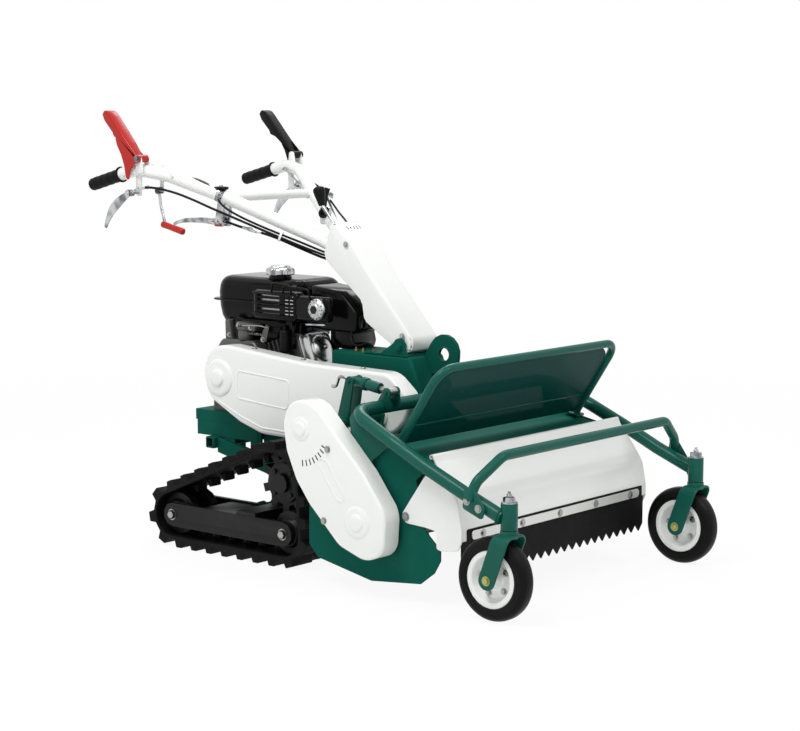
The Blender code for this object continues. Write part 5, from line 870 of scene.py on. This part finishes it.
for sign in (-1, 1):
    pivot = np.array([SIDE_PIVOT[0], 0, SIDE_PIVOT[1]])
    clamps.append(turned(plug(0.004, 0, 0.044), pivot + (0, sign * GRIP_Y, 0), (0, sign, 0), 16))
    clamps += bolt(pivot + (0, sign * 0.3435, 0), (0, sign, 0), 0.006, 0.004)
    clamps += bolt((LEVER[0], sign * 0.3236, LEVER[1]), (0, sign, 0), 0.0065, 0.005)
    clamps.append(turned(adjuster, (-0.59, sign * 0.318, 0.958), (0.03, -sign * 0.012, 0.008), 12))
rod = [(-0.606, 0.282, 1.0), (-0.596, 0.276, 1.006), (-0.452, 0.196, 0.957), (-0.44, 0.19, 0.948)]
clamps.append(carried(fillet(rod, 0.008), round_section(0.0032, 12)))
clamps += bolt((-0.255, 0.0965, 0.938), (0.2, 0.6, 0.8), 0.007, 0.01)
clamps += bolt((-0.4, -0.18, 0.969), UP, 0.0055, 0.005)
made_of("clamps_and_adjusters", clamps, chrome, "handle", smooth=35)


def lobed(a):
    """Eight soft lobes round the knob."""
    return 1 + 0.08 * np.cos(8 * a)


knob = [(0, 0.97), (0.007, 0.97), (0.01, 0.968), (0.0165, 0.9695), (0.0195, 0.968), (0.02, 0.9645),
        (0.018, 0.9615), (0.008, 0.9605), (0.008, 0.952), (0, 0.952)]
catch = [(-0.484, -0.222, 0.99), (-0.462, -0.216, 0.9885), (-0.44, -0.206, 0.98), (-0.42, -0.196, 0.968)]
controls = [turned(fillet(knob, 0.0015, 3), KNOB_PLACE, UP, 112, lobed),
            carried(smooth_run(catch, 12), flat_section(0.01, 0.0035)[0])]
made_of("knob_and_catch", controls, soft_black, "handle", smooth=50)

# Grips: soft rubber sleeves with fine rings, finger waves below and a collar at the foot.
grip_run = np.array([-0.117, 0, -0.0302])
grip_length = float(np.linalg.norm(grip_run))
h = np.linspace(0.01, grip_length + 0.003, 96)
rings = 0.0172 + 0.0004 * np.cos(h * math.tau / 0.0042) + 0.0004 * np.cos(h * math.tau / 0.026)
ends = [(0.0145, 0.002), (0.0205, 0.002), (0.022, 0.0035), (0.022, 0.0065), (0.019, 0.008)]
nose = [(0.016, grip_length + 0.0052), (0.012, grip_length + 0.0057), (0, grip_length + 0.0057)]
grip_profile = np.concatenate([ends, np.stack([rings, h], 1), nose])
for side, sign in SIDES:
    sleeve = turned(grip_profile, (-0.655, sign * GRIP_Y, 1.0008), grip_run, 40)
    made_of("rubber_grip_" + side, [sleeve], soft_black, "handle", ["grip_" + side], 60)


# Hand levers
# Long folded levers over the grips, red on the right and black on the left, each with a cheek that
# comes down outside the tube; polished side levers, the knife clutch lever and the hanging latch.
red_plastic = Finish("red_plastic", Roughness=0.3, Specular_IOR_Level=0.25)
red_plastic.set(Base_Color=red_plastic.mixed(red_plastic.noise(14.0), shade(178, 38, 30), shade(164, 34, 27)))
red_plastic.bump(red_plastic.noise(500.0), 0.00002, 0.3)
red_plastic = red_plastic.material
BLADE = [(0.006, -0.006), (-0.012, 0.01), (-0.036, 0.042), (-0.062, 0.072), (-0.1, 0.114), (-0.112, 0.125),
         (-0.126, 0.129), (-0.135, 0.118), (-0.126, 0.1), (-0.096, 0.07), (-0.09, 0.058), (-0.072, 0.052),
         (-0.04, 0.028)]
CHEEK = [(0.006, -0.008), (-0.004, 0.012), (-0.036, 0.042), (-0.06, 0.068), (-0.084, 0.058), (-0.078, 0.036),
         (-0.062, 0.01), (-0.05, -0.02), (-0.044, -0.05), (-0.038, -0.058), (-0.03, -0.054), (-0.026, -0.03),
         (-0.014, -0.018)]
BRIDGE = [(-0.02, 0.02), (-0.036, 0.042), (-0.06, 0.068), (-0.082, 0.058), (-0.06, 0.044), (-0.04, 0.028)]


def lever_eye(place, radius, low, high, axis=ACROSS, count=28):
    """The bored end of a lever, on its pin."""
    return turned([(0.0046, low), (radius, low), (radius, high), (0.0046, high)], place, axis, count)


def hand_lever(sign):
    """Blade, outer cheek and the bridge between them."""
    y = sign * GRIP_Y
    origin = (LEVER[0], 0, LEVER[1])
    blade = [(inset, y + sign * out) for inset, out in
             ((0.0035, -0.011), (0.0012, -0.01), (0, -0.0075), (0, 0.0215), (0.0012, 0.0232), (0.0035, 0.0238))]
    cheek = sheet_levels(*sorted((y + sign * 0.0212, y + sign * 0.0236)))
    bridge = sheet_levels(*sorted((y - sign * 0.009, y + sign * 0.023)), 0.001)
    return [slab(fillet(BLADE, 0.006, 4, True), blade, origin), slab(fillet(CHEEK, 0.006, 4, True), cheek, origin),
            slab(fillet(BRIDGE, 0.003, 3, True), bridge, origin),
            lever_eye((LEVER[0], y, LEVER[1]), 0.0105, -0.0115, 0.0236, (0, sign, 0), 32)]


made_of("red_hand_lever", hand_lever(-1), red_plastic, "stop_lever", ["red_lever"])
made_of("black_hand_lever", hand_lever(1), soft_black, "drive_lever", ["black_lever"])


def blade_along(y, places, widths, depth):
    """A forged lever in the plane at y: a softened rectangle carried along a smooth run through (x, z)
    places, its half width going through widths."""
    line = smooth_run([(x, y, z) for x, z in places], 40)
    s = np.linspace(0, 1, 40)
    wide = np.interp(s, np.linspace(0, 1, len(widths)), widths)
    deep = depth * np.sqrt(np.clip(wide / max(widths), 0.35, 1))
    return carried(line, flat_section(wide, deep, 3.2, 24), ACROSS)


side_run = [(-0.586, 0.952), (-0.604, 0.946), (-0.636, 0.927), (-0.664, 0.903), (-0.684, 0.873), (-0.691, 0.856)]
for side, sign in SIDES:
    y = sign * 0.333
    polished = [blade_along(y, side_run, (0.008, 0.01, 0.0135, 0.0135, 0.009, 0.0045), 0.0042),
                lever_eye((SIDE_PIVOT[0], y, SIDE_PIVOT[1]), 0.01, -0.008, 0.008)]
    made_of("side_lever_" + side, polished, chrome, "steer_lever_" + side, ["clutch_lever_" + side], 50)

knife_run = [(-0.402, 0.874), (-0.43, 0.874), (-0.48, 0.876), (-0.54, 0.874), (-0.575, 0.868), (-0.591, 0.862)]
knife_lever = [blade_along(KNIFE_Y, knife_run, (0.011, 0.009, 0.008, 0.007, 0.006, 0.004), 0.0076),
               lever_eye((KNIFE_PIVOT[0], KNIFE_Y, KNIFE_PIVOT[1]), 0.0118, -0.009, 0.009)]
made_of("knife_lever", knife_lever, chrome, "knife_clutch", ["knife_clutch_lever"], 50)

latch_pivot = np.array([-0.545, -0.27, 0.958])
stem = latch_pivot + [(0, 0, 0), (0.006, 0, -0.04), (0.022, 0, -0.092)]
latch = [carried(fillet(stem, 0.06), round_section(0.0042), ACROSS), lever_eye(latch_pivot, 0.0098, -0.007, 0.007)]
made_of("latch_rod", latch, chrome, "latch", smooth=50)
hold = [(0, 0), (0.008, 0), (0.0093, 0.003), (0.0086, 0.03), (0.0092, 0.06), (0.0094, 0.078), (0.008, 0.082),
        (0, 0.082)]
hold = turned(fillet(hold, 0.002, 4), latch_pivot + (0.012, 0, -0.09), (0.976, 0, -0.2195), 32)
made_of("latch_grip", [hold], red_plastic, "latch", ["latch_lever"], 60)

shift_foot = (-0.12, 0, 0.835)
shift_rod = [carried([shift_foot, (-0.199, 0, 0.922)], round_section(0.0048), ACROSS),
             lever_eye(shift_foot, 0.01, -0.008, 0.008)]
made_of("shift_rod", shift_rod, chrome, "gear_lever", smooth=50)
cone = [(0, 0), (0.0085, 0), (0.0092, 0.003), (0.015, 0.03), (0.0166, 0.04), (0.0155, 0.048), (0.01, 0.052),
        (0, 0.0525)]
cone = turned(fillet(cone, 0.003, 5), (-0.197, 0, 0.918), (-0.28, 0, 1), 40)
made_of("shift_knob", [cone], soft_black, "gear_lever", ["shift_lever"], 60)
dressed("throttle_lever", soft_black, 0.001)


# Cables
# Black sheathed cables from the levers: three under the right bar, held by a white tie, one under the
# left bar, and the throttle's over the column's top; each runs into the open end of the column.
steering_run = [(-0.55, 0.316, 0.967), (-0.52, 0.304, 0.966), (-0.468, 0.284, 0.954), (-0.423, 0.262, 0.936),
                (-0.382, 0.234, 0.914), (-0.343, 0.204, 0.893), (-0.292, 0.166, 0.866), (-0.238, 0.126, 0.838),
                (-0.199, 0.094, 0.817), (-0.15, 0.056, 0.793), (-0.118, 0.04, 0.783)]
for side, sign in SIDES:
    cable("steering_cable_" + side, [(x, sign * y, z) for x, y, z in steering_run], 0.0065, "handle")
stop_run = [(-0.386, -0.204, 0.936), (-0.372, -0.207, 0.924), (-0.35, -0.2, 0.908), (-0.32, -0.184, 0.89),
            (-0.285, -0.158, 0.87), (-0.24, -0.122, 0.846), (-0.199, -0.088, 0.825), (-0.152, -0.05, 0.8),
            (-0.12, -0.034, 0.789)]
cable("stop_cable", stop_run, 0.006, "handle")
knife_cable_run = [(-0.396, -0.16, 0.873), (-0.376, -0.157, 0.868), (-0.35, -0.152, 0.861), (-0.3, -0.14, 0.85),
                   (-0.25, -0.12, 0.834), (-0.205, -0.09, 0.811), (-0.155, -0.052, 0.785), (-0.122, -0.036, 0.775)]
cable("knife_cable", knife_cable_run, 0.007, "handle")
throttle_run = [(-0.254, 0.096, 0.928), (-0.238, 0.094, 0.914), (-0.214, 0.086, 0.897), (-0.18, 0.072, 0.879),
                (-0.15, 0.058, 0.862), (-0.124, 0.046, 0.846)]
cable("throttle_cable", throttle_run, 0.0055, "handle")
tie = [(0.0125, -0.003), (0.0142, -0.003), (0.0142, 0.003), (0.0125, 0.003), (0.0125, -0.003)]
made_of("cable_tie", [turned(tie, (-0.236, -0.1215, 0.8395), (0.78, 0.52, -0.36), 28)], white_enamel, "handle")
barrel = [(0, -0.03), (0.0045, -0.03), (0.0045, -0.014), (0.0062, -0.013), (0.0062, 0.013), (0.0045, 0.014),
          (0.0045, 0.03), (0, 0.03)]
barrel = turned(fillet(barrel, 0.0008, 2), (-0.318, -0.1445, 0.8545), (0.95, 0.22, -0.2), 16)
made_of("knife_cable_adjuster", [barrel], chrome, "handle")


# Deck
# Green shell with bent roof, pivot arms and side plates; the rotor with its hammer knives, the two V
# belts and pulleys, and bright bolts through the side plates.
steel = plated("plated_steel", shade(176, 176, 172), 80.0, 0.2, 0.28)
dressed("deck_shell", sheet_enamel, 0.0012)
dressed("jack_arms", green_enamel, 0.0015, 50)
for name in ("countershaft", "crank_pulley", "flail_rotor", "rotor_pulley", "jack_screw"):
    dressed(name, steel, 0.0006)
for name in ("main_drive_belt", "deck_drive_belt"):
    dressed(name, soft_black, 0.0005)
deck_bolts = []
for sign in (-1, 1):
    deck_bolts += bolt((0.32, sign * 0.3878, 0.3045), (0, sign, 0), 0.0062, 0.0048)
    deck_bolts += bolt((0.424, sign * 0.3922, 0.208), (0, sign, 0), 0.0075, 0.006)
fixings("deck_bolts", deck_bolts, "deck")


# Front hood
# One white sheet rolled from the roof's edge down to the flap, its top edge curled, between two side
# plates; the black flap under it is cut into teeth and clamped by a steel strip.
HOOD_HALF, HOOD_SHEET = 0.39, 0.003
skin_line = fillet([(0.5919, 0.168), (0.5919, 0.201), (0.58, 0.256), (0.566, 0.279), (0.5118, 0.348),
                    (0.506, 0.36)], [0, 0.09, 0.05, 0.06, 0.02, 0], 10)
CURL = 0.0052
turn = np.linspace(0.1, 4.3, 14)
curl = skin_line[-1] + np.array([-CURL, 0.0]) + CURL * np.stack([np.cos(turn), np.sin(turn)], 1)
hood_line = np.concatenate([skin_line, curl[1:]])


def rolled_sheet(line, half, thickness):
    """A sheet of even thickness whose edge follows the line in the machine's side view: the line and the
    same line moved square to itself make a closed outline, carried from -half to half across."""
    run = unit(np.gradient(line, axis=0))
    square = np.stack([-run[:, 1], run[:, 0]], 1) * thickness / 2
    ring = np.concatenate([line + square, (line - square)[::-1]])
    return np.stack([np.insert(ring, 1, y, axis=1) for y in (-half, half)])


HOOD_SIDE = [(0.41, 0.212), (0.424, 0.192), (0.484, 0.189), (0.517, 0.184), (0.518, 0.142), (0.531, 0.138),
             (0.583, 0.144), (0.594, 0.166), (0.594, 0.196), (0.583, 0.254), (0.57, 0.275), (0.515, 0.347),
             (0.479, 0.309)]
HOOD_CORNERS = [0.012, 0.012, 0.02, 0.006, 0.006, 0.01, 0.012, 0.012, 0.05, 0.05, 0.05, 0.01, 0.012]
side_outline = fillet(HOOD_SIDE, HOOD_CORNERS, 5, True)
hood = [rolled_sheet(hood_line, HOOD_HALF - 0.0005, HOOD_SHEET)]
hood += [side_plate(side_outline, sign, 0.389, 0.392, 0.0008) for sign in (-1, 1)]
made_of("hood_skin", hood, white_enamel, "hood", ["front_hood"], 40)

flap_rubber = moulded("flap_rubber", shade(8, 8, 9), shade(20, 20, 19), 240.0, 0.56)
FLAP_HALF, TEETH = 0.384, 23
tooth = np.arange(2 * TEETH + 1) * FLAP_HALF / TEETH - FLAP_HALF
teeth = np.stack([tooth, np.where(np.arange(2 * TEETH + 1) % 2, 0.074, 0.093)], 1)
flap_plan = np.concatenate([teeth, [(FLAP_HALF, 0.194), (-FLAP_HALF, 0.194)]])
strip_plan = fillet([(-0.355, 0.168), (0.355, 0.168), (0.355, 0.19), (-0.355, 0.19)], 0.01, 6, True)
band_plan = fillet([(-0.372, 0.1655), (0.372, 0.1655), (0.372, 0.1955), (-0.372, 0.1955)], 0.004, 4, True)


def across_front(outline, low, high, soft):
    """A flat plate across the machine's front, between two distances ahead."""
    return [slab(outline, sheet_levels(low, high, soft), u=ACROSS, v=UP, w=(1, 0, 0))]


made_of("toothed_flap", across_front(flap_plan, 0.5851, 0.5901, 0.0004), flap_rubber, "hood", ["rubber_flap"])
pale_steel = Finish("pale_steel", Base_Color=shade(222, 222, 218), Metallic=0.5, Roughness=0.36)
made_of("clamp_strip", across_front(strip_plan, 0.5943, 0.5973, 0.0007), pale_steel.material, "hood",
        ["flap_strip"])
made_of("flap_band", across_front(band_plan, 0.5915, 0.5945, 0.0004), flap_rubber, "hood")
strip_bolts = []
for k in range(5):
    strip_bolts += bolt((0.597, 0.312 * (k / 2 - 1), 0.179), (1, 0, 0), 0.007, 0.0048)
fixings("strip_bolts", strip_bolts, "hood")


# Guard
# A bent tube that stands on the roof on two flat soles, with a tinted sheet in it that is creased once
# across.
GUARD_FOOT, GUARD_HEAD = np.array([0.3792, 0.0, 0.3665]), np.array([0.512, 0.0, 0.568])
GUARD_HALF, GUARD_TUBE = 0.37, 0.0105
lean = unit(GUARD_HEAD - GUARD_FOOT)
ahead = np.array([lean[2], 0, -lean[0]])
corners = [GUARD_FOOT + (0, -GUARD_HALF, 0), GUARD_HEAD + (0, -GUARD_HALF, 0), GUARD_HEAD + (0, GUARD_HALF, 0),
           GUARD_FOOT + (0, GUARD_HALF, 0)]
guard = [carried(fillet(corners, [0, 0.05, 0.05, 0], 14), round_section(GUARD_TUBE, 24), ahead)]
sole = [(x, 0.3702 - (x - 0.357) * 0.1996) for x in (0.357, 0.401)]
sole += [(x, z + 0.006) for x, z in sole[::-1]]
guard += [side_plate(sole, sign, 0.348, 0.3815, 0.0008) for sign in (-1, 1)]
made_of("guard_hoop", guard, green_enamel, "deck", ["guard_tube"], 50)
tinted = Finish("tinted_sheet", Base_Color=shade(8, 66, 60), Specular_IOR_Level=0.05, Alpha=0.9)
tinted.set(Roughness=tinted.noise(18.0) * 0.1 + 0.36)
long = float(np.linalg.norm(GUARD_HEAD - GUARD_FOOT))
half, top, cut = GUARD_HALF - 0.0106, long - 0.0106, 0.04
plan = fillet([(-half, 0.012), (half, 0.012), (half, top - cut), (half - cut, top), (cut - half, top),
               (-half, top - cut)], [0, 0, 0.06, 0.06, 0.06, 0.06], 8, True)
panel = slab(plan, sheet_levels(-0.0015, 0.0015, 0.0005), GUARD_FOOT, ACROSS, lean, ahead)
made_of("tinted_sheet", [panel], tinted.material, "deck", ["guard_panel"])
crease = GUARD_FOOT + lean * 0.068 + ahead * 0.0014
crease_line = [crease + (0, -half + 0.006, 0), crease + (0, half - 0.006, 0)]
made_of("sheet_crease", [carried(crease_line, flat_section(0.003, 0.0012, 2.0)[0], ahead)], green_enamel, "deck",
        smooth=180)


# Caster frame
# One round tube bent into a U round the deck, with welded pivot wings, the jack's clevis and a turned
# socket at each end, and a thinner bent bar bolted across the front.
CASTER_X, CASTER_Y = 0.74, 0.401
arm = np.array([(0.262, 0.3, 0.447), (0.262, 0.398, 0.447), (0.4, 0.412, 0.388), (0.505, 0.4165, 0.341),
                (0.614, 0.412, 0.293), (0.728, 0.411, 0.248)])
whole = np.concatenate([(arm * (1, -1, 1))[::-1], arm])
arm_normal = unit(np.array([0.39, 0, 0.92]))
u_frame = [carried(fillet(whole, 0.055, 12), round_section(0.017, 28), arm_normal)]
WING = [(0.262, 0.312), (0.3, 0.312), (0.395, 0.392), (0.262, 0.45), (0.25, 0.43)]
socket = [(0.0126, 0.219), (0.019, 0.219), (0.02, 0.2205), (0.02, 0.2805), (0.019, 0.282), (0.0126, 0.282),
          (0.0126, 0.219)]
for sign in (-1, 1):
    u_frame.append(side_plate(fillet(WING, 0.012, 6, True), sign, 0.3935, 0.3985, 0.001))
    u_frame.append(turned(socket, (CASTER_X, sign * CASTER_Y, 0), UP, 40))
    joint = [(0.7222, sign * 0.4108, 0.25), (0.724, sign * 0.4108, 0.2494)]
    joint = carried(joint, round_section(0.0183, 28), arm_normal)
    ring = np.concatenate([joint[0], joint[0][:1]])
    u_frame.append(weld(smooth_run(ring, 90)[:-1], 0.0022, (0, 1, 0.02)))
    seam = [(0.292, sign * 0.3995, 0.4375), (0.34, sign * 0.4012, 0.4165), (0.388, sign * 0.403, 0.396)]
    u_frame.append(weld(smooth_run(seam, 60), 0.0026, ACROSS, False))
JACK_Y, JACK_REAR, JACK_FRONT = -0.28, np.array([0.163, 0.503]), np.array([0.284, 0.485])
t = np.radians(np.linspace(-20, 170, 12))
ear = [(0.247, 0.447), (0.297, 0.447), *(JACK_FRONT + 0.012 * np.stack([np.cos(t), np.sin(t)], 1))]
u_frame += [plate_at(ear, JACK_Y + sign * 0.018, 0.003) for sign in (-1, 1)]
u_frame.append(turned(plug(0.0045, -0.026, 0.026), (JACK_FRONT[0], JACK_Y, JACK_FRONT[1]), ACROSS))
made_of("u_frame", u_frame, green_enamel, "carrier", ["caster_frame"], 50)

bar_path = np.array([(0.652, 0.441, 0.283), (0.66, 0.42, 0.325), (0.68, 0.345, 0.378)])
bar_line = np.concatenate([bar_path * (1, -1, 1), bar_path[::-1]])
cross_bar = [carried(fillet(bar_line, 0.045, 12), round_section(0.0124, 24), (1, 0, 0))]
TAB = [(0.632, 0.262), (0.69, 0.24), (0.696, 0.268), (0.664, 0.312), (0.638, 0.312)]
bar_bolts = []
for sign in (-1, 1):
    cross_bar.append(side_plate(fillet(TAB, 0.008, 5, True), sign, 0.4335, 0.4385, 0.0008))
    for x, z in ((0.645, 0.28), (0.679, 0.266)):
        bar_bolts += bolt((x, sign * 0.4383, z), (0, sign, 0), 0.0068, 0.0045)
    bar_bolts += bolt((0.28, sign * 0.3983, 0.33), (0, sign, 0), 0.011, 0.0085)
made_of("front_bar_tube", cross_bar, green_enamel, "carrier", ["front_bar"], 50)
fixings("frame_bolts", bar_bolts, "carrier")


# Casters
# Each fork is a strap bent over the wheel under a turned stem with a nut over the socket; the wheel is
# two white pressed halves bolted together round a hub, in a solid black tyre with grooved shoulders.
WHEEL_X, WHEEL_Z = 0.702, 0.1
STRAP_HALF, STRAP_Y, STRAP_TOP = 0.0225, 0.034, np.array([0.742, 0, 0.2065])


def fork_strap(y):
    """A flat bar carried up one leg, over and down the other: its half width is b, and within b of
    either end b sqrt(1 - (1 - d/b)^2) at distance d from it, which rounds the foot about the axle."""
    axle = np.array([WHEEL_X, 0, WHEEL_Z])
    foot = axle - unit(STRAP_TOP - axle) * STRAP_HALF
    near, far = np.array([0, y - STRAP_Y, 0]), np.array([0, y + STRAP_Y, 0])
    path = evenly(fillet([foot + near, STRAP_TOP + near, STRAP_TOP + far, foot + far], 0.02, 10), 160)
    gone = np.linspace(0, np.linalg.norm(np.diff(path, axis=0), axis=1).sum(), 160)
    end = np.clip(np.minimum(gone, gone[-1] - gone) / STRAP_HALF, 0, 1)
    half = STRAP_HALF * np.sqrt(1 - (1 - end) ** 2) + 0.0004
    return carried(path, flat_section(0.003, half, 8.0, 32), (1, 0, 0))


def both_faces(profile, radius, steps):
    """A wheel's closed section, from the half of it on one side of the wheel's middle."""
    half = fillet(profile, radius, steps)
    return np.concatenate([half, half[::-1] * (1, -1), half[:1]])


rim_ring = both_faces([(0.0081, 0.029), (0.018, 0.029), (0.02, 0.027), (0.0225, 0.006), (0.028, 0.004),
                       (0.046, 0.004), (0.051, 0.012), (0.055, 0.0195), (0.058, 0.0208), (0.066, 0.0208),
                       (0.068, 0.02)], 0.003, 4)
tyre_ring = both_faces([(0.0683, 0.0205), (0.07, 0.0225), (0.078, 0.0232), (0.08, 0.0222), (0.082, 0.0232),
                        (0.088, 0.0225), (0.094, 0.0195), (0.0985, 0.013), (0.1, 0.006)], 0.002, 3)
stem = [(0, 0.2045), (0.0115, 0.2045), (0.0115, 0.293), (0.0095, 0.294), (0, 0.294)]
collar = [(0.01, 0.2), (0.0205, 0.2), (0.0215, 0.2015), (0.0215, 0.2165), (0.0205, 0.218), (0.01, 0.218)]
nut = [(0, 0.284), (0.015, 0.284), (0.015, 0.2945), (0.013, 0.296), (0, 0.296)]
tip = fillet([(0, 0.295), (0.0065, 0.295), (0.0065, 0.302), (0.0035, 0.304), (0.0035, 0.309), (0, 0.31)], 0.001, 2)
tyre_rubber = moulded("tyre_rubber", shade(9, 9, 10), shade(22, 22, 21), 260.0, 0.4, 0.0001)
yellow_zinc = Finish("yellow_zinc", Base_Color=shade(178, 176, 112), Metallic=1.0, Roughness=0.34).material
for side, sign in SIDES:
    y = sign * CASTER_Y
    swivel, wheel = (CASTER_X, y, 0), (WHEEL_X, y, WHEEL_Z)
    fork = [turned(stem, swivel, UP, 28), turned(collar, swivel, UP, 40), fork_strap(y)]
    made_of("fork_" + side, fork, green_enamel, "fork_" + side, ["caster_fork_" + side], 50)
    axle_ends, rim_bolts = [], []
    for t in (-1, 1):
        axle_ends += bolt((WHEEL_X, y + t * 0.0368, WHEEL_Z), (0, t, 0), 0.008, 0.0068)
        for k in range(5):
            out, _ = spoke(math.tau * (k + 0.4) / 5)
            place = (WHEEL_X + 0.038 * out[0], y + t * 0.004, WHEEL_Z + 0.038 * out[1])
            rim_bolts += bolt(place, (0, t, 0), 0.0056, 0.007)
    fixings("axle_ends_" + side, axle_ends, "fork_" + side, yellow_zinc)
    fixings("rim_bolts_" + side, rim_bolts, "wheel_" + side)
    nuts = [turned(plug(0.0195, 0.2825, 0.2845), swivel, UP, 32), turned(nut, swivel, UP, 6),
            turned(tip, swivel, UP, 20), turned(plug(0.0078, -0.036, 0.036), wheel, ACROSS, 24)]
    fixings("fork_nuts_" + side, nuts, "fork_" + side, chrome)
    made_of("rim_" + side, [turned(rim_ring, wheel, ACROSS, 72)], white_enamel, "wheel_" + side,
            ["caster_rim_" + side], 50)
    made_of("tyre_" + side, [turned(tyre_ring, wheel, ACROSS, 96)], tyre_rubber, "wheel_" + side,
            ["caster_tyre_" + side], 60)


# Jack
# Green tube with a collar and an open end, and the plated crank rod bent down behind it; the threaded
# rod, dressed with the deck's steel parts, runs out of it to the clevis.
jack_run = unit(JACK_FRONT - JACK_REAR)


def along_jack(s, low=0.0):
    """The place at distance s from the rear pin towards the front pin."""
    x, z = JACK_REAR + jack_run * s
    return np.array([x, JACK_Y, z + low])


jack_axis = np.array([jack_run[0], 0, jack_run[1]])
tube_profile = [(0.0084, 0.086), (0.014, 0.086), (0.014, 0.006), (0.012, 0.004), (0.0084, 0.004), (0.0084, 0.086)]
collar = [(0.0139, 0.03), (0.0162, 0.03), (0.0166, 0.032), (0.0166, 0.042), (0.0162, 0.044), (0.0139, 0.044),
          (0.0139, 0.03)]
rear_eye = [(0.0055, -0.0135), (0.011, -0.0135), (0.011, 0.0135), (0.0055, 0.0135), (0.0055, -0.0135)]
jack = [turned(tube_profile, along_jack(0), jack_axis, 40), turned(collar, along_jack(0), jack_axis, 40),
        turned(rear_eye, along_jack(0), ACROSS, 32)]
made_of("jack_tube", jack, green_enamel, "jack_tube", ["jack_body"], 50)
crank = [along_jack(-0.006), along_jack(-0.05), along_jack(-0.062, -0.03), along_jack(-0.075, -0.032)]
made_of("jack_crank", [carried(fillet(crank, 0.01, 8), round_section(0.0042), ACROSS)], chrome, "jack_tube",
        smooth=180)
